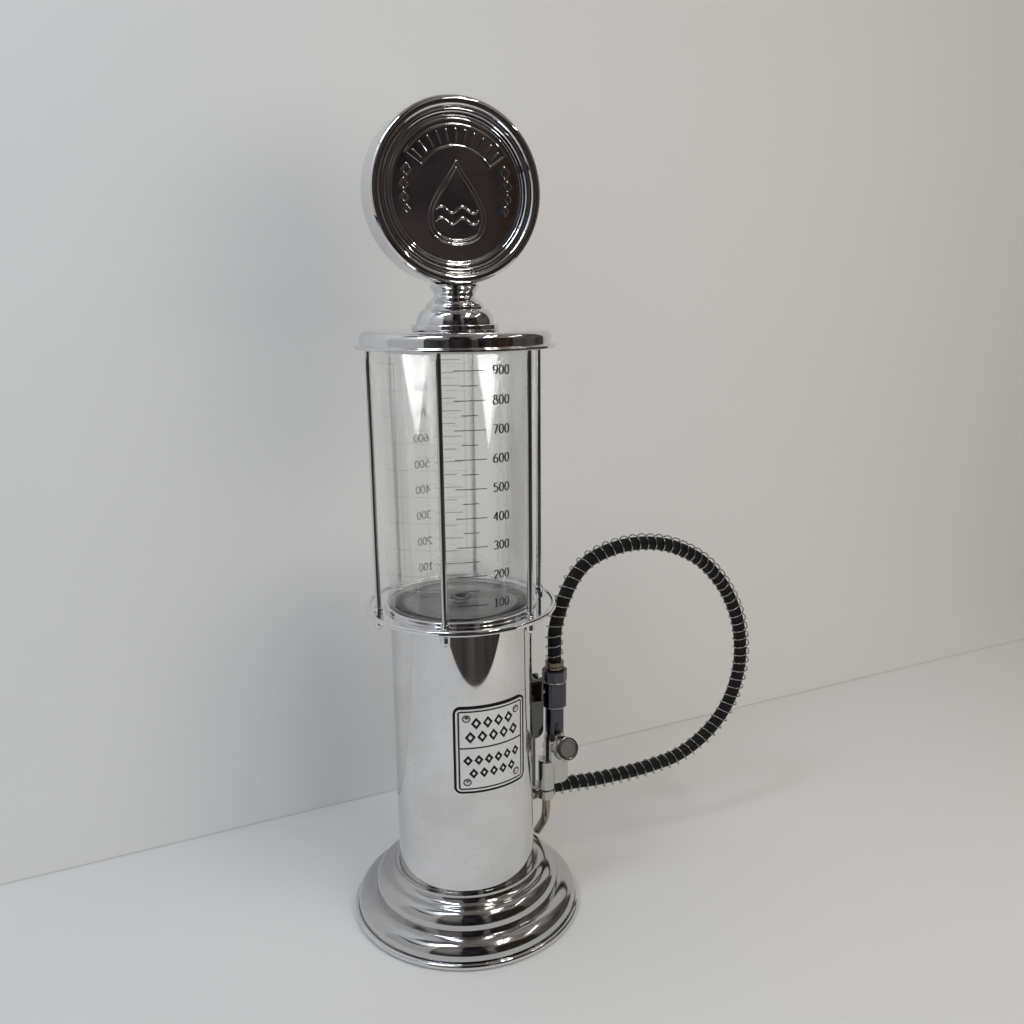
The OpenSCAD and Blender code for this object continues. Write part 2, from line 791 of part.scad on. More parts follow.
// Plate bent round the body, with rounded corners
module label_plate() color(chrome) {
    rotate([0, 0, label_turn]) intersection() {
        translate([0, 0, label_z - label_h / 2]) ring(body_r + skin, label_face_r, label_h);
        translate([0, 0, label_z]) rotate([90, 0, 0]) linear_extrude(label_face_r + over) union() {
            square([label_w - 2 * label_corner, label_h], center = true);
            square([label_w, label_h - 2 * label_corner], center = true);
            for (x = [-1, 1], z = [-1, 1])
                translate([x * (label_w / 2 - label_corner), z * (label_h / 2 - label_corner)])
                    circle(r = label_corner);
        }
    }
}

module label_rivets() color("dimgray") {
    swing = asin((label_w / 2 - rivet_inset) / label_face_r);
    for (a = [-swing, swing], z = [-1, 1])
        rotate([0, 0, label_turn + a]) translate([0, 0, label_z + z * (label_h / 2 - rivet_inset)])
            rotate([90, 0, 0]) translate([0, 0, label_face_r + skin]) cylinder(d = rivet_d, h = rivet_h);
}

module tray() color(chrome) {
    seat_r = tank_foot_r + play;
    difference() {
        translate([0, 0, body_top]) union() {
            cylinder(r = tray_r, h = tray_t);
            ring(tray_r - tray_rim_w, tray_r, tray_rim_h);
            ring(seat_r, seat_r + seat_w, tray_t + seat_h);
            translate([0, 0, -collar_h]) ring(socket_r, socket_r + collar_t, collar_h);
        }
        translate([0, 0, body_top - over]) {
            cylinder(d = drain_stem_d + 2 * fit, h = tray_t + 2 * over);
            at_rods() cylinder(d = rod_d + 2 * fit, h = tray_t + 2 * over);
        }
    }
}

module rod(i) color(steel) {
    rotate([0, 0, 360 * (i - 1) / rod_n]) translate([rod_circle, 0, rod_bottom])
        cylinder(d = rod_d, h = lid_z + rod_socket - fit - rod_bottom);
}

module rod_collars() color(chrome) {
    at_rods() translate([0, 0, tray_floor_z]) ring(rod_d / 2 + fit, rod_collar_d / 2, rod_collar_h);
}

module rod_washers() color(chrome) {
    at_rods() translate([0, 0, body_top - washer_t]) ring(rod_d / 2 + fit, washer_d / 2, washer_t);
}

module acorn_nuts() color(chrome) {
    at_rods() translate([0, 0, body_top - washer_t - dome_nut_h]) difference() {
        union() {
            cylinder(d = dome_nut_d, h = dome_nut_h);
            intersection() {
                sphere(d = dome_nut_d);
                translate([0, 0, -dome_nut_d]) cylinder(d = 2 * dome_nut_d, h = dome_nut_d);
            }
        }
        translate([0, 0, -fit]) cylinder(d = rod_d + 2 * fit, h = dome_nut_h + over);
    }
}

// Tapered cup with a rounded foot
module tank() color("white", 0.3) {
    in_r = tank_r - tank_wall;
    in_foot_r = tank_foot_r - tank_wall;
    hole_r = drain_stem_d / 2 + fit;
    rotate_extrude() polygon(concat(
        [[hole_r, tank_z]],
        arc([tank_foot_r - tank_round, tank_z + tank_round], tank_round, 270, 360, 8),
        [[tank_r, tank_top], [in_r, tank_top], [in_foot_r, tank_z + tank_floor],
            [hole_r, tank_z + tank_floor]]
    ));
}

module tank_gasket() color(rubber) {
    foot_r = tank_foot_r - tank_round;
    translate([0, 0, tray_floor_z]) ring(foot_r - gasket_w, foot_r, gasket_t);
}

module lid_gasket() color("whitesmoke") {
    translate([0, 0, tank_top]) ring(tank_r - tank_wall, tank_r, top_gasket_t);
}

module lid() color(chrome) {
    difference() {
        rotate_extrude() polygon(concat(
            [[lid_bore_r, lid_z], [lid_r, lid_z], [lid_r, lid_z + lid_flange_t],
                [lid_side_r, lid_z + lid_flange_t]],
            arc([lid_side_r - lid_round, lid_top - lid_round], lid_round, 0, 90),
            [[filler_r, lid_top], [filler_r, lid_top - lid_wall], [lid_bore_r, lid_top - lid_wall]]
        ));
        at_rods() translate([0, 0, lid_z - over]) cylinder(d = rod_d + 2 * fit, h = rod_socket + over);
    }
}

module drain_nipple() color(steel) {
    floor_z = tank_z + tank_floor;
    difference() {
        union() {
            translate([0, 0, drain_end_z]) cylinder(d = drain_stem_d, h = floor_z - drain_end_z);
            translate([0, 0, floor_z]) cylinder(d = drain_flange_d, h = drain_flange_t);
        }
        translate([0, 0, drain_end_z - over]) cylinder(d = drain_d, h = floor_z - drain_end_z + 3 * over);
    }
}

module drain_nut() color(steel) {
    translate([0, 0, body_top - drain_nut_h]) difference() {
        hexagon(drain_nut_af, drain_nut_h);
        translate([0, 0, -over]) cylinder(d = drain_stem_d + 2 * fit, h = drain_nut_h + 2 * over);
    }
}

module feed_tube() color("ivory") {
    cord(feed_route, feed_d, feed_sides, feed_steps);
}

module hose_outlet() color(chrome) {
    difference() {
        union() {
            difference() {
                on_side(outlet_y, outlet_z) hexagon(outlet_hex_af, outlet_hex_reach);
                translate([0, 0, outlet_z - outlet_hex_af])
                    cylinder(r = body_r + skin, h = 2 * outlet_hex_af);
            }
            on_side(outlet_y, outlet_z) translate([0, 0, outlet_inner_x])
                cylinder(d = outlet_stem_d, h = outlet_hex_reach - outlet_inner_x);
        }
        on_side(outlet_y, outlet_z) translate([0, 0, outlet_inner_x - over])
            cylinder(d = outlet_bore, h = outlet_hex_reach - outlet_inner_x + 2 * over);
    }
}

module outlet_nut() color(steel) {
    nut_x = sqrt(pow(body_in_r, 2) - pow(outlet_y + outlet_hex_af / 2, 2)) - outlet_nut_t;
    on_side(outlet_y, outlet_z) translate([0, 0, nut_x - skin]) difference() {
        hexagon(outlet_hex_af, outlet_nut_t);
        translate([0, 0, -over]) cylinder(d = outlet_stem_d + 2 * fit, h = outlet_nut_t + 2 * over);
    }
}

module outlet_ferrule() color(chrome) {
    on_side(outlet_y, outlet_z) translate([0, 0, outlet_hex_reach])
        ring(outlet_bore / 2, outlet_ferrule_d / 2, outlet_end_x - outlet_hex_reach);
}

// Saddle on the body, and a block with an open-topped slot for the hang pin
module holster() color(chrome) {
    saddle_r = body_r + saddle_t;
    reach = holster_reach - body_in_r;
    head_room = pin_head_d + 2 * slot_gap;
    pin_room = pin_d + 2 * slot_gap;
    slot_back = pin_head_x - play;
    difference() {
        union() {
            intersection() {
                translate([0, 0, saddle_z]) cylinder(r = saddle_r, h = holster_top - saddle_z);
                translate([0, -holster_w / 2, saddle_z + holster_w / 2])
                    cube([2 * body_r, holster_w, holster_top - saddle_z]);
            }
            intersection() {
                translate([0, 0, saddle_z]) cylinder(r = saddle_r, h = holster_w);
                on_side(0, saddle_z + holster_w / 2) cylinder(d = holster_w, h = 2 * body_r);
            }
            translate([0, holster_w / 2, 0]) rotate([90, 0, 0]) linear_extrude(holster_w) union() {
                translate([body_in_r, block_z + block_tip_r])
                    square([reach, holster_top - block_z - block_tip_r]);
                translate([body_in_r, block_z]) square([reach - block_tip_r, 2 * block_tip_r]);
                translate([holster_reach - block_tip_r, block_z + block_tip_r]) circle(r = block_tip_r);
            }
        }
        translate([0, 0, saddle_z - over]) cylinder(r = body_r + skin, h = holster_top - saddle_z + 2 * over);
        translate([slot_back, -head_room / 2, pin_z]) cube([slot_neck - slot_back, head_room, holster_top]);
        translate([slot_neck - over, -pin_room / 2, pin_z]) cube([holster_reach, pin_room, holster_top]);
        on_side(0, pin_z) {
            translate([0, 0, slot_back]) cylinder(d = head_room, h = slot_neck - slot_back);
            translate([0, 0, slot_neck - over]) cylinder(d = pin_room, h = holster_reach);
        }
        on_side(0, lower_screw_z) cylinder(d = holster_screw_d + 2 * fit, h = saddle_r - screw_cover);
        on_side(0, upper_screw_z) cylinder(d = holster_screw_d + 2 * fit, h = holster_reach - screw_cover);
    }
}

// Screw from inside the body, its tip just short of the end of its hole
module holster_screw(z, hole_end) {
    head_x = sqrt(pow(body_in_r, 2) - pow(holster_screw_head_d / 2, 2)) - skin;
    on_side(0, z) {
        translate([0, 0, head_x - holster_screw_head_t])
            cylinder(d = holster_screw_head_d, h = holster_screw_head_t);
        translate([0, 0, head_x]) cylinder(d = holster_screw_d, h = hole_end - fit - head_x);
    }
}

module holster_screws() color(steel) {
    holster_screw(lower_screw_z, body_r + saddle_t - screw_cover);
    holster_screw(upper_screw_z, holster_reach - screw_cover);
}

module hose() color(rubber) {
    cord(hose_route, hose_d, hose_sides, hose_steps);
}

module hose_spring() color(steel) {
    last = len(wire_places) - 1;
    tube([
        for (i = [0:last])
            let (
                w = wire_places[i],
                along = i < 2
                    ? heading_at(hose_route, 0)
                    : i > last - 2
                        ? heading_at(hose_route, len(hose_route) - 1)
                        : unit(wire_points[i + 1] - wire_points[i - 1]),
                raw = wire_out(w),
                out = unit(raw - (raw * along) * along),
                across = cross(along, out)
            )
            [
                for (j = [0:wire_sides - 1])
                    let (a = 360 * j / wire_sides)
                    wire_points[i] + wire_d / 2 * (out * cos(a) + across * sin(a))
            ]
    ], wire_sides);
}

// Turned neck, hollow over the filler plug
module neck() color(chrome) {
    slices = 12;
    difference() {
        union() {
            rotate_extrude() polygon(concat(
                [[0, disc_z], [neck_disc_r, disc_z], [neck_disc_r, dome_z]],
                [for (i = [0:slices]) let (a = 90 * i / slices)
                    [neck_ring_r + (neck_dome_r - neck_ring_r) * cos(a), dome_z + neck_dome_h * sin(a)]],
                [[neck_ring_r, fall_z]],
                [for (i = [1:slices]) let (t = i / slices)
                    [ease(neck_ring_r - neck_ring_step, neck_waist_r, t), fall_z + neck_fall_h * t]],
                [for (i = [1:slices]) let (t = i / slices)
                    [ease(neck_waist_r, neck_top_r, t), waist_z + neck_rise_h * t]],
                [[0, neck_top_z]]
            ));
            intersection() {
                translate([0, 0, neck_top_z - over]) cylinder(r = neck_saddle_r, h = neck_saddle_h + over);
                translate([-neck_saddle_r, -drum_d, neck_top_z - over])
                    cube([2 * neck_saddle_r, 2 * drum_d, neck_saddle_h + over]);
            }
        }
        on_head_axis(1) translate([0, 0, -head_front_d - play])
            cylinder(r = head_r + skin, h = head_t + 2 * play);
        translate([0, 0, disc_z - over]) cylinder(r = plug_in_r, h = neck_roof_z - disc_z + over);
        translate([0, 0, neck_roof_z - over]) cylinder(d = neck_bolt_d + 2 * fit, h = head_r);
    }
}

// Filler plug under the neck's disc, with the groove of its seal ring
module cap_plug() color(chrome) {
    difference() {
        translate([0, 0, disc_z - plug_len]) ring(plug_in_r, plug_r, plug_len);
        translate([0, 0, lid_top - lid_wall / 2 - seal_d / 2 - skin])
            ring(seal_r - seal_d / 2 - skin, plug_r + over, seal_d + 2 * skin);
    }
}

module cap_seal() color(rubber) {
    translate([0, 0, lid_top - lid_wall / 2]) rotate_extrude()
        translate([seal_r, 0]) circle(d = seal_d, $fn = 32);
}

module neck_bolt() color(steel) {
    top_z = bolt_nut_z + bolt_nut_t + bolt_tip;
    translate([0, 0, neck_roof_z - bolt_head_t]) cylinder(d = bolt_head_d, h = bolt_head_t);
    translate([0, 0, neck_roof_z]) cylinder(d = neck_bolt_d, h = top_z - neck_roof_z);
}

module neck_bolt_nut() color(steel) {
    translate([0, 0, bolt_nut_z]) difference() {
        hexagon(bolt_nut_af, bolt_nut_t);
        translate([0, 0, -over]) cylinder(d = neck_bolt_d + 2 * fit, h = bolt_nut_t + 2 * over);
    }
}

// Half of the head: a drum wall with two rounded beads round the recessed face
module head_half(side) {
    valley_d = head_front_d - bead_r;
    inner_bead_c = face_r + inner_bead_r;
    shelf_d = drum_d - face_shelf_t;
    difference() {
        on_head_axis(side) rotate_extrude() union() {
            translate([drum_in_r, 0]) square([head_wall, valley_d]);
            translate([head_r - bead_r, valley_d]) circle(r = bead_r);
            translate([inner_bead_c, valley_d]) circle(r = inner_bead_r);
            translate([face_r, shelf_d]) square([drum_in_r - face_r + over, valley_d - shelf_d]);
            translate([face_r - face_shelf, shelf_d])
                square([drum_in_r - face_r + face_shelf, drum_d - shelf_d]);
        }
        cylinder(d = neck_bolt_d + 2 * fit, h = head_z);
    }
}

module head_front() color(chrome) {
    head_half(1);
}

module head_back() color(chrome) {
    head_half(-1);
}

module face_disc(side) {
    on_head_axis(side) translate([0, 0, drum_d]) cylinder(r = face_r - fit, h = face_t);
}

module face_front() color("slategray") {
    face_disc(1);
}

module face_back() color("slategray") {
    face_disc(-1);
}

module nozzle_ferrule() color(chrome) {
    translate([tap_x, 0, tap_top - ferrule_h]) ring(barrel_bore / 2, ferrule_d / 2, ferrule_h);
}

module nozzle_nut() color(chrome) {
    translate([tap_x, 0, coupling_z]) difference() {
        intersection() {
            rotate([0, 0, 22.5]) cylinder(d = coupling_af / cos(22.5), h = coupling_h, $fn = 8);
            cylinder(d1 = coupling_low_d, d2 = coupling_high_d, h = coupling_h);
        }
        translate([0, 0, -over]) cylinder(d = barrel_bore, h = coupling_h + 2 * over);
    }
}

module nozzle_sleeve() color(chrome) {
    translate([tap_x, 0, sleeve_z]) difference() {
        cylinder(d = sleeve_d, h = sleeve_h);
        translate([0, 0, -over]) cylinder(d = barrel_d + 2 * fit, h = sleeve_h + 2 * over);
        translate([-sleeve_d, 0, pin_z - sleeve_z]) rotate([0, 90, 0])
            cylinder(d = pin_d + 2 * fit, h = sleeve_d);
    }
}

module nozzle_barrel() color(chrome) {
    translate([tap_x, 0, valve_top]) difference() {
        cylinder(d = barrel_d, h = coupling_z - valve_top);
        translate([0, 0, -over]) cylinder(d = barrel_bore, h = coupling_z - valve_top + 2 * over);
        translate([-barrel_d, 0, pin_z - valve_top]) rotate([0, 90, 0])
            cylinder(d = pin_d + 2 * fit, h = pin_tip_x + fit - tap_x + barrel_d);
    }
}

module hang_pin() color(steel) {
    on_side(0, pin_z) {
        translate([0, 0, pin_head_x]) cylinder(d = pin_head_d, h = pin_head_t);
        translate([0, 0, pin_head_x + pin_head_t])
            cylinder(d = pin_d, h = pin_tip_x - pin_head_x - pin_head_t);
    }
}

// Casting with a round head, an outlet pipe, a side block and the valve's cross bore
module valve_body() color(chrome) {
    slope_z = valve_top - shoulder_h;
    link = [tap_x - pipe_x, button_z - pipe_z - pipe_h / 2];
    difference() {
        union() {
            translate([tap_x, 0, valve_head_z]) cylinder(d = valve_head_d, h = slope_z - valve_head_z);
            translate([tap_x, 0, slope_z]) cylinder(d1 = valve_head_d, d2 = barrel_d, h = shoulder_h);
            translate([pipe_x, 0, pipe_z]) cylinder(d = pipe_d, h = pipe_h);
            translate([0, block_depth - block_front, 0]) rotate([90, 0, 0])
                linear_extrude(block_depth) union() {
                translate([pipe_x, block_foot])
                    square([block_reach - block_round - pipe_x, block_top - block_foot]);
                translate([pipe_x, block_foot + block_round])
                    square([block_reach - pipe_x, block_top - block_foot - block_round]);
                translate([block_reach - block_round, block_foot + block_round]) circle(r = block_round);
            }
            on_button_axis() translate([0, 0, chamber_back - back_wall])
                cylinder(d = boss_d, h = boss_reach - chamber_back + back_wall);
        }
        on_button_axis() translate([0, 0, chamber_back])
            cylinder(r = chamber_r, h = boss_reach - chamber_back + over);
        translate([tap_x, 0, valve_top + over / 2])
            rotate([180 + atan2(inlet_back, valve_top - button_z), 0, 0])
            cylinder(d = inlet_d, h = valve_top - button_z + over);
        translate([pipe_x, 0, pipe_z - over]) cylinder(d = barrel_bore, h = pipe_h / 2 + over);
        translate([pipe_x, 0, pipe_z + pipe_h / 2]) rotate([0, atan2(link[0], link[1]), 0])
            cylinder(d = inlet_d, h = norm(link));
    }
}

module valve_seat() color(rubber) {
    on_button_axis() translate([0, 0, seat_back]) ring(seat_bore / 2, chamber_r - fit, seat_t);
}

module valve_bonnet() color(chrome) {
    on_button_axis() difference() {
        union() {
            translate([0, 0, chamber_front]) cylinder(r = chamber_r - fit, h = boss_reach - chamber_front);
            translate([0, 0, boss_reach])
                cylinder(d1 = boss_d, d2 = bonnet_d, h = bonnet_reach - bonnet_front - boss_reach);
            translate([0, 0, bonnet_reach - bonnet_front]) cylinder(d = bonnet_d, h = bonnet_front);
        }
        translate([0, 0, chamber_front - over]) cylinder(d = stem_d + 2 * fit, h = bonnet_reach);
        translate([0, 0, spring_floor]) cylinder(r = spring_room_r, h = bonnet_reach);
        translate([0, 0, button_floor]) cylinder(r = button_bore_r, h = bonnet_reach);
    }
}

module bezel_ring() color(chrome) {
    back = bonnet_reach - bonnet_front;
    on_button_axis() difference() {
        translate([0, 0, back]) cylinder(d = bezel_d, h = bezel_reach - back);
        translate([0, 0, back - over]) cylinder(d = bonnet_d + 2 * fit, h = bonnet_front + over);
        translate([0, 0, back]) cylinder(r = button_bore_r, h = bezel_reach - bezel_lip - back);
        translate([0, 0, back]) cylinder(d = bezel_opening, h = bezel_reach);
        for (i = [0:knurl_n - 1]) rotate([0, 0, 360 * i / knurl_n])
            translate([bezel_d / 2 - knurl_depth, -knurl_w / 2, back + knurl_margin])
            cube([over, knurl_w, bezel_reach - back - 2 * knurl_margin]);
    }
}

module button_spring() color(steel) {
    on_button_axis() translate([0, 0, spring_floor])
        ring(stem_d / 2 + play, spring_room_r - play, flange_back - spring_floor);
}

module spout_nut() color(chrome) {
    translate([pipe_x, 0, spout_nut_z]) difference() {
        union() {
            hexagon(spout_nut_af, spout_nut_h);
            cylinder(d = spout_neck_d, h = spout_nut_h + spout_groove);
        }
        translate([0, 0, -over]) cylinder(d = spout_d + 2 * fit, h = spout_nut_h + spout_groove + 2 * over);
    }
}

// Thin tube, straight below its nut and bent back towards its tip
module spout() color("tan") {
    difference() {
        cord(spout_line(0), spout_d, spout_sides, 1);
        cord(spout_line(over), spout_d - 2 * spout_wall, spout_sides, 1);
    }
}

module button_cap() color("dimgray") {
    on_button_axis() {
        translate([0, 0, flange_back]) cylinder(r = flange_r, h = flange_t);
        translate([0, 0, flange_front])
            cylinder(r = face_button_r, h = bezel_reach + button_proud - flange_front);
    }
}

module plunger_stem() color(steel) {
    seal_back = seat_back - fit - plunger_seal_t;
    on_button_axis() {
        translate([0, 0, seal_back]) cylinder(d = stem_d, h = flange_back - seal_back);
        translate([0, 0, seal_back - plunger_head_t]) cylinder(d = plunger_head_d, h = plunger_head_t);
    }
}

module plunger_seal() color(rubber) {
    on_button_axis() translate([0, 0, seat_back - fit - plunger_seal_t])
        ring(stem_d / 2 + skin, plunger_seal_d / 2, plunger_seal_t);
}

base_pad();
base_plate();
base_shell();
base_screws();
body_tube();
label_plate();
label_rivets();
tray();
rod(1);  // rod_1
rod(2);  // rod_2
rod(3);  // rod_3
rod(4);  // rod_4
rod(5);  // rod_5
rod(6);  // rod_6
rod_collars();
rod_washers();
acorn_nuts();
tank();
tank_gasket();
lid_gasket();
lid();
drain_nipple();
drain_nut();
feed_tube();
hose_outlet();
outlet_nut();
outlet_ferrule();
holster();
holster_screws();
hose();
hose_spring();
neck();
cap_plug();
cap_seal();
neck_bolt();
neck_bolt_nut();
head_front();
head_back();
face_front();
face_back();
nozzle_ferrule();
nozzle_nut();
nozzle_sleeve();
nozzle_barrel();
hang_pin();
valve_body();
valve_seat();
valve_bonnet();
bezel_ring();
button_spring();
spout_nut();
spout();
button_cap();
plunger_stem();
plunger_seal();
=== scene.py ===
"""Looks of a chromed counter-top drink dispenser in the shape of an old fuel pump.

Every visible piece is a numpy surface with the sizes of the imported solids; lengths in the code are
millimetres, and make() turns them into metres.
"""

import math

import bpy
import numpy as np
from bpy.props import FloatProperty, FloatVectorProperty, IntProperty, PointerProperty
from mathutils import Matrix, Vector
from mathutils.geometry import tessellate_polygon


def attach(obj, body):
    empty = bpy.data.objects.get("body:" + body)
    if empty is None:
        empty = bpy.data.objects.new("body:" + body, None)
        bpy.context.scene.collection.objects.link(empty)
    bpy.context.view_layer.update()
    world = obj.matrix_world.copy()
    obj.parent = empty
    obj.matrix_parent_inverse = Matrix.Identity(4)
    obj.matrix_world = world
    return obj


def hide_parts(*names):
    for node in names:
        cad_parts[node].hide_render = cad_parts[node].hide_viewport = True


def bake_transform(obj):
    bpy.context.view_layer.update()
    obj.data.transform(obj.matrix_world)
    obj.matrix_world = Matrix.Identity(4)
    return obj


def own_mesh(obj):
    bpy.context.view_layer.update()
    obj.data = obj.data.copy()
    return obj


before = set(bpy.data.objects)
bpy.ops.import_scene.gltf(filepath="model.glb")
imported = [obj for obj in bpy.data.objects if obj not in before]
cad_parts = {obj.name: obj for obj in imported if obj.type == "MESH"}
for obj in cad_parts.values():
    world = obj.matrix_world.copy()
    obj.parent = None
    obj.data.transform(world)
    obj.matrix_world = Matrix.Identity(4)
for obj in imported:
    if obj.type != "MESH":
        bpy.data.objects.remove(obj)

bl_info = {
    "name": "Pump dispenser",
    "version": (1, 0, 0),
    "blender": (4, 5, 0),
    "location": "View3D > Sidebar > Dispenser",
    "description": "Builds the looks of a chromed drink dispenser round its packed solids",
    "category": "Add Mesh",
}

MM = 0.001
BUTTON_TILT = 20.0
# Points nearer than this are one
SAME = 1e-6

# Places that several pieces share, as in the part's source
TAP_X = 63.5
PIPE_X = 57.4
BUTTON_Z = 94.9
HEAD_Z = 444.2
ROD_R = 52.3
OUTLET_Y, OUTLET_Z = 13, 58
BODY_SEAT_R = 43.55

# Middle line of the hose, as in the part's source
ROUTE = np.array([
    (63.5, 0, 156.05), (63.5, 0, 166), (64, 0.5, 176), (67, 1, 187), (71.5, 1.5, 198), (78, 2, 209),
    (87, 2.5, 218), (98, 3, 223), (110, 3, 226), (123, 3.5, 227), (136, 4, 226), (150, 4, 223),
    (164, 4.5, 217), (177, 5, 209), (188, 5.5, 199), (198, 6, 187), (206, 6, 173), (212, 6.5, 158),
    (215, 7, 143), (216, 7.5, 129), (214, 8, 114), (209, 8.5, 99), (201, 9, 86), (190, 9.5, 75),
    (177, 10, 66.5), (163, 10.5, 61), (148, 11, 58.5), (132, 11.5, 57), (116, 12, 56.5), (100, 12.5, 56.5),
    (84, 13, 57.5), (70, 13, 58), (63, 13, 58), (56, 13, 58)], float)
FEED = np.array([
    (0, 0, 188), (0, 0, 172), (0, 1, 150), (2, 3, 125), (3, 6, 100), (5, 10, 78), (12, 13, 63),
    (22, 13, 58), (30, 13, 58)], float)


def unit(v):
    """Each vector at length 1."""
    return v / np.maximum(np.linalg.norm(v, axis=-1), 1e-9)[..., None]


def vec(*parts):
    """Points or directions from their coordinates; each coordinate is an array or one number for all."""
    return np.stack(np.broadcast_arrays(*parts), -1)


def sampled(at, where, rows):
    """Rows that are known at some places of a run, read at others."""
    return vec(*(np.interp(at, where, column) for column in rows.T))


def rotation(degrees, axis):
    """A turn about one axis as a 4 x 4 matrix."""
    return Matrix.Rotation(math.radians(degrees), 4, axis)


# Profiles: runs of points with their normals, the solid on the left of the way along them

def line(*points):
    """Straight runs through the points; the normal is the way along, turned right."""
    runs = []
    for p, q in zip(points[:-1], points[1:]):
        p, q = np.array(p, float), np.array(q, float)
        d = (q - p) / np.linalg.norm(q - p)
        n = np.array([d[1], -d[0]])
        runs.append((np.array([p, q]), np.array([n, n])))
    return runs


def arc(centre, r, a0, a1, n=10):
    """c + r (cos a, sin a); the normal points away from the centre, or to it where a falls."""
    a = np.radians(np.linspace(a0, a1, n + 1))
    u = vec(np.cos(a), np.sin(a))
    return [(np.array(centre, float) + r * u, u if a1 > a0 else -u)]


def curve(points):
    """A smooth run; the normal is the run's gradient, turned right."""
    p = np.array(points, float)
    d = unit(np.gradient(p, axis=0, edge_order=2))
    return [(p, vec(d[:, 1], -d[:, 0]))]


def swelling(p, w, h, n=20):
    """Quarter of an ellipse p + (w (cos a - 1), h sin a), from its outer end up and inwards."""
    a = np.linspace(0, np.pi / 2, n + 1)
    points = np.array(p, float) + vec(w * (np.cos(a) - 1), h * np.sin(a))
    return [(points, unit(vec(np.cos(a) / w, np.sin(a) / h)))]


def rounded(corners, closed=True, n=5):
    """Polygon with rounded corners: each corner (x, y, r) becomes an arc tangent to its two sides, and
    (x, y) stays sharp."""
    c = [np.array(k[:2], float) for k in corners]
    r = [k[2] if len(k) > 2 else 0 for k in corners]
    m = len(c)
    parts = []
    for i in range(m):
        if not closed and i in (0, m - 1):
            parts.append((c[i], c[i], None))
            continue
        a, b, d = c[i - 1], c[i], c[(i + 1) % m]
        u = (a - b) / np.linalg.norm(a - b)
        v = (d - b) / np.linalg.norm(d - b)
        half = math.acos(np.clip(u @ v, -1, 1)) / 2
        if r[i] < SAME:
            parts.append((b, b, None))
            continue
        t = r[i] / math.tan(half)
        centre = b + (u + v) / np.linalg.norm(u + v) * r[i] / math.sin(half)
        a0 = math.degrees(math.atan2(*(b + u * t - centre)[::-1]))
        a1 = math.degrees(math.atan2(*(b + v * t - centre)[::-1]))
        a1 = a0 + (a1 - a0 + 180) % 360 - 180
        parts.append((b + u * t, b + v * t, arc(centre, r[i], a0, a1, n)))
    runs = []
    for i in range(m):
        if parts[i][2]:
            runs += parts[i][2]
        if closed or i < m - 1:
            p, q = parts[i][1], parts[(i + 1) % m][0]
            if np.linalg.norm(q - p) > SAME:
                runs += line(p, q)
    return runs


def box(x0, x1, y0, y1, corner=0):
    """Corners of a rectangle, for rounded()."""
    return [(x0, y0, corner), (x1, y0, corner), (x1, y1, corner), (x0, y1, corner)]


def polygon(n, r, corner, turn=0.0):
    """Corners of a regular polygon, for rounded()."""
    angles = [math.radians(turn + 360 / n * i) for i in range(n)]
    return [(r * math.cos(a), r * math.sin(a), corner) for a in angles]


# Shapes: (vertices, triangles, a normal per triangle corner)

def revolve(runs, n=96):
    """P(s, a) = (r(s) cos a, r(s) sin a, z(s)), a from 0 to 2 pi in n steps. Runs that meet share a ring,
    a point on the axis is one vertex, and each cell has two triangles."""
    angle = 2 * np.pi * np.arange(n) / n
    c, s = np.cos(angle), np.sin(angle)

    def ring(p):
        return vec(p[0] * c, p[0] * s, p[1])

    rows, verts, count = [], [], 0
    last, first = None, None
    for p, q in runs:
        ids = []
        for i in range(len(p)):
            if last is not None and i == 0 and np.linalg.norm(p[0] - last[0]) < SAME:
                ids.append(last[1])
                continue
            if first is not None and np.linalg.norm(p[i] - first[0]) < SAME and i == len(p) - 1:
                ids.append(first[1])
                continue
            pole = abs(p[i][0]) < 1e-9
            verts.append(ring(p[i])[:1 if pole else n])
            ids.append(count + (np.zeros(n, int) if pole else np.arange(n)))
            count += len(verts[-1])
            if first is None:
                first = (p[i], ids[-1])
        last = (p[-1], ids[-1])
        rows.append((ids, q))
    tris, norms = [], []
    j = np.arange(n)
    k = (j + 1) % n
    for ids, q in rows:
        for a in range(len(ids) - 1):
            ra, rb, na, nb = ids[a], ids[a + 1], ring(q[a]), ring(q[a + 1])
            tris += [np.stack([ra[j], ra[k], rb[k]], 1), np.stack([ra[j], rb[k], rb[j]], 1)]
            norms += [np.stack([na[j], na[k], nb[k]], 1), np.stack([na[j], nb[k], nb[j]], 1)]
    t, m = np.concatenate(tris), np.concatenate(norms)
    keep = (t[:, 0] != t[:, 1]) & (t[:, 1] != t[:, 2]) & (t[:, 2] != t[:, 0])
    return np.concatenate(verts), t[keep], m[keep]


def lathe(corners, n=96, closed=True, steps=5):
    """A profile with rounded corners, revolved."""
    return revolve(rounded(corners, closed, steps), n)


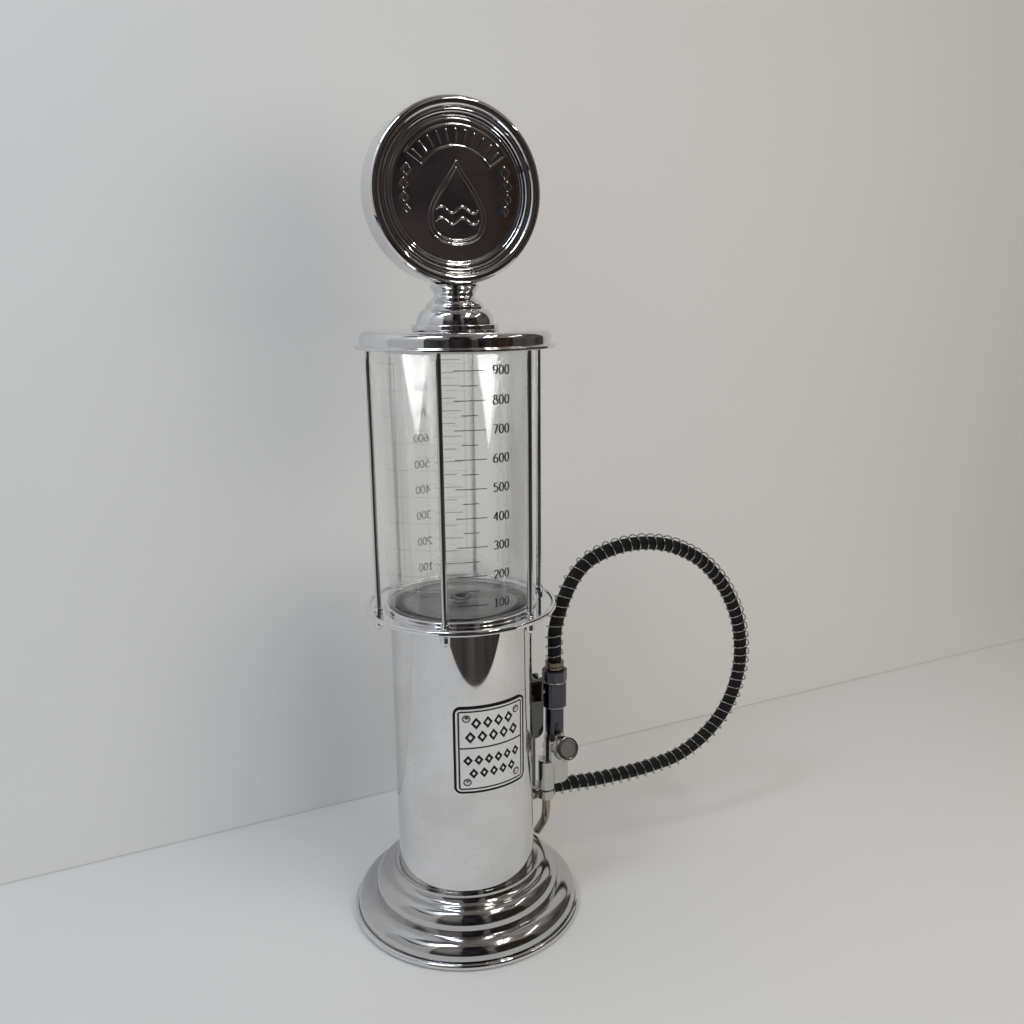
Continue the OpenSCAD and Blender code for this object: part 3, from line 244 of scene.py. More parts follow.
def prism(runs, z0, z1, b0=0.3, b1=0.3, steps=4):
    """An outline p(s) with normal n(s), raised from z0 to z1; each end is rounded by
    p - b (1 - cos t) n, z + b sin t, and closed by a flat face."""
    levels = []
    for z, b, start in ((z0 + b0, b0, -90), (z1 - b1, b1, 0)):
        for t in np.linspace(start, start + 90, steps + 1):
            flat, up = math.cos(math.radians(t)), math.sin(math.radians(t))
            levels.append((z + b * up, b * (1 - flat), flat, up))
    verts, tris, norms, count = [], [], [], 0
    for p, q in runs:
        m = len(p)
        ways = []
        for z, inset, flat, up in levels:
            verts.append(vec(*(p - inset * q).T, z))
            ways.append(vec(*(q * flat).T, up))
        for i, (na, nb) in enumerate(zip(ways[:-1], ways[1:])):
            a = count + i * m + np.arange(m - 1)
            b = a + m
            tris += [np.stack([a, a + 1, b + 1], 1), np.stack([a, b + 1, b], 1)]
            norms += [np.stack([na[:-1], na[1:], nb[1:]], 1), np.stack([na[:-1], nb[1:], nb[:-1]], 1)]
        count += len(levels) * m
    for z, inset, way in ((z0, b0, -1.0), (z1, b1, 1.0)):
        loop = np.concatenate([(p - inset * q)[:-1] for p, q in runs])
        cap = np.array(tessellate_polygon([[(x, y, 0) for x, y in loop]]))
        e1, e2 = loop[cap[:, 1]] - loop[cap[:, 0]], loop[cap[:, 2]] - loop[cap[:, 0]]
        turn = e1[:, 0] * e2[:, 1] - e1[:, 1] * e2[:, 0]
        flip = turn * way < 0
        cap[flip] = cap[flip][:, ::-1]
        verts.append(vec(*loop.T, z))
        tris.append(cap + count)
        norms.append(np.broadcast_to([0.0, 0.0, way], (len(cap), 3, 3)))
        count += len(loop)
    return np.concatenate(verts), np.concatenate(tris), np.concatenate(norms)


def grid(points, normals):
    """A sheet of points (rows, columns, 3) with its normals; two triangles a cell."""
    h, w = points.shape[:2]
    i = (np.arange(h - 1)[:, None] * w + np.arange(w - 1)[None]).ravel()
    t = np.concatenate([np.stack([i, i + 1, i + w + 1], 1), np.stack([i, i + w + 1, i + w], 1)])
    v = points.reshape(-1, 3)
    return v, t, normals.reshape(-1, 3)[t]


def smooth_path(p, steps):
    """Catmull-Rom curve through the points, the ends carried on straight."""
    p = np.concatenate([[2 * p[0] - p[1]], p, [2 * p[-1] - p[-2]]])
    t = np.arange(steps)[:, None] / steps
    out = [0.5 * (2 * b + (c - a) * t + (2 * a - 5 * b + 4 * c - d) * t ** 2
                  + (3 * b - a - 3 * c + d) * t ** 3)
           for a, b, c, d in zip(p[:-3], p[1:-2], p[2:-1], p[3:])]
    return np.concatenate(out + [p[-2:-1]])


def heading(path):
    """Unit direction all along a path."""
    return unit(np.gradient(path, axis=0))


def frames(path):
    """The square direction nearest to +Y, and the one square to it and to the heading, along a path."""
    h = heading(path)
    side = unit(np.array([0.0, 1.0, 0.0]) - h[:, 1:2] * h)
    return side, np.cross(h, side)


def sweep(path, r, sides, out=None, ends=True):
    """Round tube c(s) + r (u(s) cos a + w(s) sin a) along a path, closed by flat ends."""
    h = heading(path)
    u = frames(path)[0] if out is None else out
    u = unit(u - np.sum(u * h, axis=1)[:, None] * h)
    w = np.cross(h, u)
    a = 2 * np.pi * np.arange(sides + 1) / sides
    n = u[:, None] * np.cos(a)[None, :, None] + w[:, None] * np.sin(a)[None, :, None]
    v, t, m = grid(path[:, None] + r * n, n)
    parts = [(v, t, m)]
    if ends:
        for e, way in ((0, -1.0), (len(path) - 1, 1.0)):
            ring = v.reshape(len(path), sides + 1, 3)[e]
            tri = np.array([[0, j, j + 1] if way > 0 else [0, j + 1, j] for j in range(1, sides - 1)])
            parts.append((ring, tri, np.broadcast_to(h[e] * way, (len(tri), 3, 3))))
    return join(parts)


def join(shapes):
    """Several shapes as one."""
    v, t, m, count = [], [], [], 0
    for a, b, c in shapes:
        v.append(a)
        t.append(b + count)
        m.append(c)
        count += len(a)
    return np.concatenate(v), np.concatenate(t), np.concatenate(m)


def turned(shape, matrix):
    """The shape carried by a rigid 4 x 4 matrix."""
    m = np.array(matrix)
    v, t, n = shape
    return v @ m[:3, :3].T + m[:3, 3], t, n @ m[:3, :3].T


def moved(shape, x):
    """The shape carried along X."""
    return shape[0] + np.array([x, 0.0, 0.0]), shape[1], shape[2]


def along_x(shape, y, z):
    """Local +Z laid along +X."""
    return turned(shape, Matrix.Translation((0, y, z)) @ rotation(90, "Y"))


def along_button(shape):
    """Local +Z laid along the button's axis, outwards."""
    return turned(shape, Matrix.Translation((TAP_X, 0, BUTTON_Z)) @ rotation(90 - BUTTON_TILT, "X"))


def along_head(shape, side):
    """Local +Z towards the front (side 1) or the back (side -1), from the head's middle."""
    turn = rotation(0 if side > 0 else 180, "Z") @ rotation(90, "X")
    return turned(shape, Matrix.Translation((0, 0, HEAD_Z)) @ turn)


def on_rods(shape):
    """Copies of a shape, one on each of the six rods."""
    return join([turned(moved(shape, ROD_R), rotation(60 * i, "Z")) for i in range(6)])


def make(name, shape, material, body, nodes=(), attribute=None):
    """Mesh object at the origin from a shape, riding on a body in place of the solids it shows."""
    v, t, m = shape
    mesh = bpy.data.meshes.new(name)
    mesh.vertices.add(len(v))
    mesh.vertices.foreach_set("co", (v * MM).astype(np.float32).ravel())
    mesh.loops.add(3 * len(t))
    mesh.loops.foreach_set("vertex_index", t.astype(np.int32).ravel())
    mesh.polygons.add(len(t))
    mesh.polygons.foreach_set("loop_start", (3 * np.arange(len(t))).astype(np.int32))
    mesh.update(calc_edges=True)
    mesh.polygons.foreach_set("use_smooth", np.ones(len(t), bool))
    if attribute is not None:
        mesh.attributes.new(attribute[0], "FLOAT", "POINT").data.foreach_set(
            "value", attribute[1].astype(np.float32))
    mesh.normals_split_custom_set(unit(m).reshape(-1, 3))
    mesh.materials.append(material)
    obj = bpy.data.objects.new(name, mesh)
    bpy.context.scene.collection.objects.link(obj)
    if body:
        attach(obj, body)
    if nodes:
        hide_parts(*nodes)
    return obj


def show(node, shape, key, body="pump"):
    """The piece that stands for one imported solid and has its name."""
    return make(node + "_look", shape, look(key), body, [node])


# Materials

class Nodes:
    """A node tree, with short ways to add nodes. Inputs take a constant, or a link from a socket."""

    def __init__(self, tree):
        self.tree = tree

    def first(self, kind):
        return next(n for n in self.tree.nodes if n.type == kind)

    def put(self, node, inputs):
        for key, value in inputs.items():
            if isinstance(value, bpy.types.NodeSocket):
                self.tree.links.new(value, node.inputs[key])
            else:
                node.inputs[key].default_value = value
        return node

    def add(self, kind, inputs=None, **values):
        node = self.tree.nodes.new("ShaderNode" + kind)
        for key, value in values.items():
            setattr(node, key, value)
        return self.put(node, inputs or {})

    def math(self, operation, one, two, clamp=False):
        return self.add("Math", {0: one, 1: two}, operation=operation, use_clamp=clamp).outputs["Value"]

    def ramp(self, value, low, high, start=0.0, end=1.0):
        """The range from start to end, mapped to that from low to high."""
        return self.add("MapRange", {"Value": value, "From Min": start, "From Max": end,
                                     "To Min": low, "To Max": high}).outputs["Result"]

    def mix(self, where, one, two):
        """Colour one where the value is 0, two where it is 1."""
        return self.add("Mix", {0: where, 6: (*one, 1), 7: (*two, 1)}, data_type="RGBA").outputs[2]

    def noise(self, scale, low, high, detail=3.0):
        """Noise on Object coordinates, mapped to a range."""
        where = self.add("TexCoord").outputs["Object"]
        fac = self.add("TexNoise", {"Vector": where, "Scale": scale, "Detail": detail}).outputs["Fac"]
        return self.ramp(fac, low, high, 0.35, 0.65)


def material(name):
    """A material, its nodes and its Principled shader."""
    m = bpy.data.materials.get(name) or bpy.data.materials.new(name)
    m.use_nodes = True
    nodes = Nodes(m.node_tree)
    return m, nodes, nodes.first("BSDF_PRINCIPLED")


def metal(name, colour, rough, scale=60.0):
    """Polished metal whose roughness drifts a little, like wiped chrome."""
    m, nodes, shader = material(name)
    nodes.put(shader, {"Base Color": (*colour, 1), "Metallic": 1.0, "Roughness": nodes.noise(scale, *rough)})
    return m


def worn_metal(name):
    """Chrome with broad smudges and a few clusters of tiny specks."""
    m, nodes, shader = material(name)
    smudge = nodes.noise(22.0, 0.0, 0.8, 5.0)
    specks = nodes.math("MAXIMUM", nodes.noise(600.0, -16.0, 2.0, 2.0), 0.0)
    clusters = nodes.math("MULTIPLY", specks, nodes.noise(35.0, -1.5, 1.5, 2.0), True)
    wear = nodes.math("MAXIMUM", smudge, clusters, True)
    nodes.put(shader, {"Base Color": nodes.mix(wear, (0.82, 0.82, 0.83), (0.66, 0.655, 0.64)),
                       "Roughness": nodes.ramp(smudge, 0.02, 0.06), "Metallic": 1.0})
    return m


def tray_metal(name):
    """Chrome that turns to dull grey inside the tank's seat ring: radius from Object coordinates."""
    m, nodes, shader = material(name)
    where = nodes.add("TexCoord").outputs["Object"]
    flat = nodes.add("VectorMath", {0: where, 1: (1, 1, 0)}, operation="MULTIPLY").outputs["Vector"]
    far = nodes.add("VectorMath", {0: flat}, operation="LENGTH").outputs["Value"]
    step = nodes.ramp(far, 0.0, 1.0, 0.0438, 0.0442)
    nodes.put(shader, {"Base Color": nodes.mix(step, (0.17, 0.17, 0.18), (0.80, 0.80, 0.81)),
                       "Roughness": nodes.ramp(step, 0.3, 0.05), "Metallic": 1.0})
    return m


def plain(name, colour, rough, spec=0.5):
    """A surface of one colour whose roughness drifts a little."""
    m, nodes, shader = material(name)
    nodes.put(shader, {"Base Color": (*colour, 1), "Specular IOR Level": spec,
                       "Roughness": nodes.noise(300.0, *rough)})
    return m


def mottled(name, one, two, scale):
    """Matt surface that drifts between two colours, for what the chrome mirrors."""
    m, nodes, shader = material(name)
    nodes.put(shader, {"Base Color": nodes.mix(nodes.noise(scale, 0.0, 1.0), one, two),
                       "Specular IOR Level": 0.0, "Roughness": 0.9})
    return m


def clear(name):
    """Clear acrylic; shadows pass it."""
    m, nodes, shader = material(name)
    nodes.put(shader, {"Base Color": (0.985, 0.995, 0.995, 1), "Transmission Weight": 1.0,
                       "Roughness": 0.0, "IOR": 1.47})
    mix = nodes.add("MixShader", {0: nodes.add("LightPath").outputs["Is Shadow Ray"],
                                  1: shader.outputs["BSDF"],
                                  2: nodes.add("BsdfTransparent").outputs["BSDF"]})
    nodes.put(nodes.first("OUTPUT_MATERIAL"), {"Surface": mix.outputs["Shader"]})
    return m


def painted(name, base, paint, mask):
    """Metal with paint where the mesh's own mask is 1."""
    m, nodes, shader = material(name)
    at = nodes.add("Attribute", attribute_name=mask).outputs["Fac"]
    nodes.put(shader, {"Base Color": nodes.mix(at, base, paint), "Metallic": nodes.ramp(at, 1.0, 0.0),
                       "Roughness": nodes.ramp(at, 0.12, 0.6), "Specular IOR Level": 0.2})
    return m


LOOKS = {}


def look(key):
    """Each material, made once."""
    if not LOOKS:
        LOOKS.update(
            chrome=metal("chrome", (0.76, 0.76, 0.77), (0.03, 0.06)),
            base=metal("base_chrome", (0.60, 0.597, 0.60), (0.07, 0.13), 40.0),
            body=worn_metal("body_chrome"),
            steel=metal("steel", (0.66, 0.65, 0.63), (0.14, 0.24), 200.0),
            stainless=metal("stainless", (0.36, 0.32, 0.27), (0.16, 0.28), 150.0),
            bronze=metal("bronze", (0.22, 0.18, 0.14), (0.12, 0.22), 150.0),
            dull=plain("dull_button", (0.15, 0.142, 0.135), (0.35, 0.45)),
            # The holster's near-black chrome is painted dark reflection, standing in for the dark
            # surroundings it mirrors
            holster=metal("holster_chrome_painted_dark_reflection", (0.11, 0.108, 0.106), (0.05, 0.10), 90.0),
            wire=metal("wire", (0.42, 0.41, 0.40), (0.18, 0.28), 200.0),
            # The tap's nut, sleeve and barrel get near-black chrome: painted dark reflection and shade in
            # place of the dark surroundings the chrome mirrors
            tap=metal("tap_chrome_painted_dark_reflection", (0.078, 0.081, 0.092), (0.04, 0.09), 90.0),
            valve=metal("valve_chrome", (0.55, 0.545, 0.52), (0.05, 0.11), 90.0),
            tray=tray_metal("tray_chrome"),
            dark=metal("dark_steel", (0.10, 0.10, 0.10), (0.2, 0.3)),
            rubber=plain("rubber", (0.010, 0.010, 0.011), (0.5, 0.65), 0.2),
            seal=plain("clear_seal", (0.72, 0.73, 0.73), (0.3, 0.4)),
            tubing=plain("tubing", (0.75, 0.74, 0.68), (0.3, 0.4)),
            ink=plain("ink", (0.012, 0.012, 0.014), (0.4, 0.5)),
            clear=clear("clear"),
            label=painted("label", (0.80, 0.80, 0.80), (0.006, 0.006, 0.006), "paint"),
        )
    return LOOKS[key]


# Settings

def metres(name, text, default):
    """A length in metres."""
    return FloatProperty(name=name, description=text, default=default, unit="LENGTH")


class HoseSettings(bpy.types.PropertyGroup):
    """Sizes of the hose and its wire spring."""

    hose: metres("Hose", "Outer diameter of the rubber hose", 0.0088)
    spring: metres("Spring", "Outer diameter of the wire spring", 0.0120)
    wire: metres("Wire", "Thickness of the spring's wire", 0.00095)
    lift: metres("Lift", "Offset of the spring to the loop's outer side", 0.0006)
    turns: IntProperty(name="Turns", description="Turns of the wire spring", default=70)


class TankSettings(bpy.types.PropertyGroup):
    """Sizes of the tank and its printed scale."""

    foot: metres("Foot radius", "Outer radius at the foot", 0.0444)
    rim: metres("Rim radius", "Outer radius at the rim", 0.0469)
    bottom: metres("Bottom", "Height of the tank's foot", 0.2056)
    height: metres("Height", "Height of the tank", 0.1524)
    wall: metres("Wall", "Wall of the tank", 0.002)
    digit: metres("Digit", "Height of a printed digit", 0.0052)


class StageSettings(bpy.types.PropertyGroup):
    """Camera, floor, walls and lamps."""

    eye: FloatVectorProperty(name="Eye", description="Place of the camera", subtype="TRANSLATION",
                             default=(-0.187153, -0.526205, 0.388744))
    lens: FloatProperty(name="Lens", description="Focal length in millimetres", default=33.398,
                        unit="CAMERA")
    strip: FloatProperty(name="Strip", description="Power of the left ceiling lamp in watts", default=1.85,
                         unit="POWER")
    fill: FloatProperty(name="Fill", description="Power of each soft front lamp in watts, before its share",
                        default=3.45, unit="POWER")
    panel: FloatProperty(name="Panel", description="Strength of the two panels that show on the tank",
                         default=30.0)
    wall: FloatVectorProperty(name="Wall colour", description="Colour of floor and walls", subtype="COLOR",
                              default=(0.80, 0.80, 0.80))
    room: FloatProperty(name="Room", default=0.2,
                        description="Brightness of the room overhead; a quarter of it lower down")


# Pieces

class DISPENSER_OT_base(bpy.types.Operator):
    """Base plate with its rolled rim, pad and stepped shell."""

    bl_idname = "dispenser.base"
    bl_label = "Base"

    def execute(self, context):
        rim_x, rim_z, rim_r, top = 71.6, 2.5, 1.9, 3.0
        a = 180 - math.degrees(math.asin((top - rim_z) / rim_r))
        inner = (rim_x + rim_r * math.cos(math.radians(a)), top)
        plate = (line((0, 0.6), (63.55, 0.6), (63.55, 1.6), (68.85, 1.6), (68.85, 0.6), (rim_x, 0.6))
                 + arc((rim_x, rim_z), rim_r, -90, a, 24) + line(inner, (0, top)))
        show("base_plate", revolve(plate, 192), "chrome")
        pad = lathe([(63.7, 0, 0.3), (68.7, 0, 0.3), (68.7, 1.6), (63.7, 1.6)], 128)
        show("base_pad", pad, "rubber")
        shell = (line((63.4, 3.0), (69.4, 3.0), (69.4, 4.8))
                 + rounded([(69.4, 4.8), (70.9, 4.8, 0.5), (70.9, 6)], False)
                 + swelling((70.9, 6), 10.5, 9) + line((60.4, 15), (59.2, 15), (59.2, 16.5))
                 + swelling((59.2, 16.5), 8, 10.5) + line((51.2, 27), (51.05, 27))
                 + arc((51.05, 32), 5, 270, 180, 16)
                 + rounded([(46.05, 32), (43.65, 32, 0.4), (43.65, 25)], False)
                 + line((43.65, 25), (40.75, 25), (40.75, 23), (52.2, 23), (52.2, 13), (63.4, 13),
                        (63.4, 3.0)))
        show("base_shell", revolve(shell, 192), "base")
        return {"FINISHED"}


class DISPENSER_OT_body(bpy.types.Operator):
    """Body tube and the bent label plate with its rivets."""

    bl_idname = "dispenser.body"
    bl_label = "Body"

    def execute(self, context):
        show("body_tube", lathe(box(42, 43.5, 25, 203), 256), "body")
        self.label()
        return {"FINISHED"}

    def label(self):
        """Sheet x, z bent by angle = asin(x / R) on the body; the paint mask is 1 in dark lines, from the
        distance to a rounded frame, a middle line and rows of lozenges."""
        w, h, corner, turn_deg, face, mid = 46.5, 55.0, 4.0, 3.5, 44.25, 127.0
        turn = math.radians(turn_deg)
        rivet_x, rivet_z = w / 2 - 7.2, h / 2 - 7.2
        quarters = ((-1, -1), (-1, 1), (1, -1), (1, 1))
        x, z = np.meshgrid(np.linspace(-w / 2, w / 2, 233), np.linspace(-h / 2, h / 2, 277))
        q = np.stack([np.abs(x) - w / 2 + corner, np.abs(z) - h / 2 + corner])
        edge = np.linalg.norm(np.maximum(q, 0), axis=0) + np.minimum(q.max(0), 0) - corner

        def band(d, half):
            """1 within half a width of a line, with a soft edge."""
            return np.clip((half - np.abs(d)) / 0.12 + 0.5, 0, 1)

        def bent(x, z, r):
            """Flat x, z laid at a radius, with the ways outwards and along the bend."""
            a = np.arcsin(x / face) + turn
            out = vec(np.sin(a), -np.cos(a), 0)
            return out * r + vec(0, 0, z + mid), out, vec(np.cos(a), np.sin(a), 0)

        paint = np.maximum(band(edge + 0.4, 1.0), band(edge + 2.9, 0.5))
        paint = np.maximum(paint, band(z - 1.5, 0.5) * (np.abs(x) < w / 2 - 3.0))
        for row, size, count, step in ((17.0, 3.3, 4, 7.0), (8.4, 3.3, 5, 7.0), (-6.4, 2.9, 6, 6.2),
                                       (-14.8, 2.9, 5, 6.2)):
            for i in range(count):
                c = (i - (count - 1) / 2) * step
                d = np.abs(x - c) * 1.05 + np.abs(z - row) * 0.85 - size
                stroke = np.clip(-d / 0.15 + 0.5, 0, 1) * np.clip((d + 1.9) / 0.15 + 0.5, 0, 1)
                paint = np.maximum(paint, stroke)
        for sx, sz in quarters:
            paint = np.maximum(paint, band(np.hypot(x - sx * rivet_x, z - sz * rivet_z) - 2.0, 0.35))
        v, t, m = grid(*bent(x, z, face)[:2])
        inside = (edge < 0.02).ravel()[t].all(1)
        front = (v, t[inside], m[inside])
        side = []
        for p, q in rounded(box(-w / 2, w / 2, -h / 2, h / 2, corner), n=12):
            count = max(2, len(p), int(np.linalg.norm(p[-1] - p[0]) / 0.8))
            at = np.linspace(0, len(p) - 1, count)
            px, pz = sampled(at, np.arange(len(p)), p).T
            qx, qz = sampled(at, np.arange(len(p)), q).T
            low = bent(px, pz, BODY_SEAT_R)[0]
            high, _, along = bent(px, pz, face)
            n = along * qx[:, None] + vec(0, 0, qz)
            side.append(grid(np.stack([low, high]), np.stack([n, n])))
        edges = join(side)
        shape = join([front, edges])
        mask = np.concatenate([paint.ravel(), np.ones(len(edges[0]))])
        make("label_plate_look", shape, look("label"), "pump", ["label_plate"], ("paint", mask))
        rivet = lathe([(0, 0), (1.5, 0), (1.5, 0.35, 0.2), (0, 0.6)], 24, False)
        swing = math.degrees(math.asin(rivet_x / face))
        parts = []
        for sx, sz in quarters:
            place = Matrix.Translation((0, -face - 0.05, mid + sz * rivet_z)) @ rotation(90, "X")
            parts.append(turned(rivet, rotation(turn_deg + sx * swing, "Z") @ place))
        show("label_rivets", join(parts), "steel")


class DISPENSER_OT_tray(bpy.types.Operator):
    """Tray, rods, their collars, washers and dome nuts."""

    bl_idname = "dispenser.tray"
    bl_label = "Tray and rods"

    def execute(self, context):
        tray = [(43.65, 198, 0.3), (45.05, 198, 0.3), (45.05, 203, 0.4), (58.5, 203, 0.9), (58.5, 206, 1.2),
                (55.7, 206, 1.2), (55.7, 204.6, 0.5), (46.9, 204.6, 0.5), (46.9, 207, 0.7), (44.7, 207, 0.7),
                (44.7, 204.6, 0.3), (5.15, 204.6), (5.15, 203), (43.65, 203)]
        show("tray", lathe(tray, 192), "tray")
        rod = revolve(line((0, 198), (1.7, 198), (1.7, 363), (0, 363)), 32)
        rods = ["rod_%d" % i for i in range(1, 7)]
        make("rods_look", on_rods(rod), look("chrome"), "pump", rods)
        collar = rounded([(1.85, 204.6), (2.7, 204.6), (2.7, 208.6, 0.5), (1.85, 208.6)])
        washer = rounded([(1.85, 201.4), (4.15, 201.4, 0.5), (4.15, 203, 0.3), (1.85, 203)])
        nut = arc((0, 198), 3.0, -90, 0, 12) + line((3.0, 198), (3.0, 201.4), (1.85, 201.4), (1.85, 197.85),
                                                    (0, 197.85))
        for node, profile in (("rod_collars", collar), ("rod_washers", washer), ("acorn_nuts", nut)):
            show(node, on_rods(revolve(profile, 32)), "chrome")
        return {"FINISHED"}


class DISPENSER_OT_tank(bpy.types.Operator):
    """Clear tank, its gaskets, the drain and the tube inside the body."""

    bl_idname = "dispenser.tank"
    bl_label = "Tank"

    def execute(self, context):
        p = context.scene.dispenser_tank
        foot, rim, z0 = p.foot / MM, p.rim / MM, p.bottom / MM
        z1, wall = z0 + p.height / MM, p.wall / MM
        tank = [(5.15, z0), (foot, z0, 4.0), (rim, z1, 0.6), (rim - wall, z1, 0.6),
                (foot - wall, z0 + 2.5, 2.5), (5.15, z0 + 2.5)]
        clear_tank = show("tank", lathe(tank, 192, steps=10), "clear")
        bpy.data.collections["panels_show_in"].objects.link(clear_tank)
        show("tank_gasket", lathe(box(34.4, 40.4, 204.6, 205.6, 0.2), 128), "rubber")
        show("lid_gasket", lathe(box(44.9, 46.9, 358, 359.2, 0.2), 128), "seal")
        drain = [(3.5, 188), (5, 188, 0.3), (5, 208.1), (6.75, 208.1), (6.75, 209, 0.4), (3.5, 209, 0.4)]
        show("drain_nipple", lathe(drain, 48), "dark")
        show("feed_tube", sweep(smooth_path(FEED, 8), 4.4, 24), "tubing")
        return {"FINISHED"}


# Strokes of the digits in a box 0.6 wide and 1 high: arcs (x, y, rx, ry, from, to) and lines
DIGITS = {
    "0": [("arc", 0.3, 0.5, 0.25, 0.47, 0, 360)],
    "1": [("line", 0.12, 0.82, 0.32, 0.97), ("line", 0.32, 0.97, 0.32, 0.03),
          ("line", 0.14, 0.03, 0.5, 0.03)],
    "2": [("arc", 0.3, 0.7, 0.24, 0.27, 165, -35), ("line", 0.5, 0.55, 0.06, 0.03),
          ("line", 0.06, 0.03, 0.55, 0.03)],
    "3": [("arc", 0.28, 0.74, 0.22, 0.23, 150, -90), ("arc", 0.28, 0.27, 0.25, 0.24, 90, -150)],
    "4": [("line", 0.42, 0.03, 0.42, 0.97), ("line", 0.42, 0.97, 0.04, 0.3), ("line", 0.04, 0.3, 0.58, 0.3)],
    "5": [("line", 0.5, 0.97, 0.14, 0.97), ("line", 0.14, 0.97, 0.11, 0.56),
          ("arc", 0.28, 0.32, 0.25, 0.29, 130, -150)],
    "6": [("arc", 0.3, 0.3, 0.24, 0.27, 0, 360), ("arc", 0.5, 0.3, 0.44, 0.67, 180, 95)],
    "7": [("line", 0.06, 0.97, 0.55, 0.97), ("line", 0.55, 0.97, 0.24, 0.03)],
    "8": [("arc", 0.3, 0.745, 0.155, 0.215, 0, 360), ("arc", 0.3, 0.275, 0.255, 0.255, 0, 360)],
    "9": [("arc", 0.3, 0.7, 0.24, 0.27, 0, 360), ("arc", 0.1, 0.7, 0.44, 0.67, 0, -85)],
}


class DISPENSER_OT_scale(bpy.types.Operator):
    """Printed scale on the tank's front and back: a long mark each 100, a short one each 50, and numbers."""

    bl_idname = "dispenser.scale"
    bl_label = "Scale"

    def execute(self, context):
        p = context.scene.dispenser_tank
        foot, rim, z0, height = p.foot / MM, p.rim / MM, p.bottom / MM, p.height / MM
        over, mean_r = 0.06, 45.5

        def on_tank(x, z):
            """Flat x, z laid over the cone: angle x / R, radius foot + (rim - foot) (z - z0) / height."""
            r = foot + (rim - foot) * (z - z0) / height + over
            a = x / mean_r
            n = vec(np.sin(a), -np.cos(a), 0)
            return n * r[..., None] + vec(0, 0, z), n

        def ribbon(path, half):
            """Flat band of a path: path - w n and path + w n, n square to it, w wider in upright strokes."""
            d = heading(path)
            n = vec(-d[:, 1], d[:, 0]) * (1 + 1.3 * np.abs(d[:, 1:]))
            flat = np.stack([path - half * n, path + half * n])
            return grid(*on_tank(flat[..., 0], flat[..., 1]))

        def digit(c, x, z, h):
            """Ribbons of one digit's strokes, its lower left corner at x, z."""
            out = []
            for s in DIGITS[c]:
                if s[0] == "line":
                    q = np.linspace((s[1], s[2]), (s[3], s[4]), 4)
                else:
                    a = np.radians(np.linspace(s[5], s[6], 25))
                    q = vec(s[1] + s[3] * np.cos(a), s[2] + s[4] * np.sin(a))
                out.append(ribbon(q * h + (x, z), 0.042 * h))
            return out

        marks = np.interp(np.arange(50, 950, 50), np.arange(100, 1000, 100),
                          [216.6, 233.7, 250.9, 267.6, 284.2, 300.7, 316.9, 333.0, 349.1])
        marks[0] = marks[1] - 8.5
        parts = []
        h = p.digit / MM
        for i, z in enumerate(marks):
            long = i % 2 == 1
            x = np.linspace(-16.5 if long else -12.6, 1.2 if long else -3.6, 12)
            parts.append(ribbon(vec(x, z), 0.22))
            if long:
                for k, c in enumerate(str((i + 1) * 50)):
                    parts += digit(c, 5.0 + k * 0.7 * h, z - h / 2, h)
        shape = join(parts)
        both = [turned(shape, rotation(turn, "Z")) for turn in (-1.0, 178.0)]
        make("tank_scale", join(both), look("ink"), "pump")
        return {"FINISHED"}


class DISPENSER_OT_lid(bpy.types.Operator):
    """Lid and the turned neck with its plug and seal ring."""

    bl_idname = "dispenser.lid"
    bl_label = "Lid and neck"

    def execute(self, context):
        lid = (rounded([(43.4, 359.2, 0.3), (58.3, 359.2, 0.6), (58.3, 361.2, 0.8), (55.4, 361.2, 0.6),
                        (55.4, 365.2)], False)
               + arc((51.4, 365.2), 4, 0, 90, 16)
               + line((51.4, 369.2), (19.3, 369.2), (19.3, 366.2), (43.4, 366.2), (43.4, 359.2)))
        show("lid", revolve(lid, 192), "chrome")

        def ease(a, b, t):
            """From a to b along half a cosine wave."""
            return a + (b - a) * (1 - np.cos(np.pi * t)) / 2

        t = np.linspace(0, 1, 25)
        fall = vec(ease(16.4, 11.8, t), 382.6 + 6.0 * t)
        rise = vec(ease(11.8, 14.2, t), 388.6 + 6.0 * t)
        dome = vec(17 + 5.4 * np.cos(t * np.pi / 2), 372.5 + 8.5 * np.sin(t * np.pi / 2))
        neck = (rounded([(15.6, 369.5), (25.3, 369.5, 0.4), (25.3, 372.5, 0.8), (22.4, 372.5)], False)
                + curve(dome) + rounded([(17, 381), (17, 382.6, 0.5), (16.4, 382.6)], False)
                + curve(np.concatenate([fall, rise[1:]]))
                + line((14.2, 394.6), (9, 394.6), (2.65, 394.2), (2.65, 376.7), (15.6, 376.7), (15.6, 369.5)))
        show("neck", revolve(neck, 128), "chrome", body="cap")
        plug = [(15.6, 357.5, 0.3), (18.6, 357.5, 0.6), (18.6, 366.65), (16.95, 366.65), (16.95, 368.75),
                (18.6, 368.75), (18.6, 369.5), (15.6, 369.5)]
        show("cap_plug", lathe(plug, 128), "chrome", body="cap")
        seal = revolve(arc((18.0, 367.7), 1.0, 0, 360, 16), 96)
        show("cap_seal", seal, "rubber", "cap")
        return {"FINISHED"}


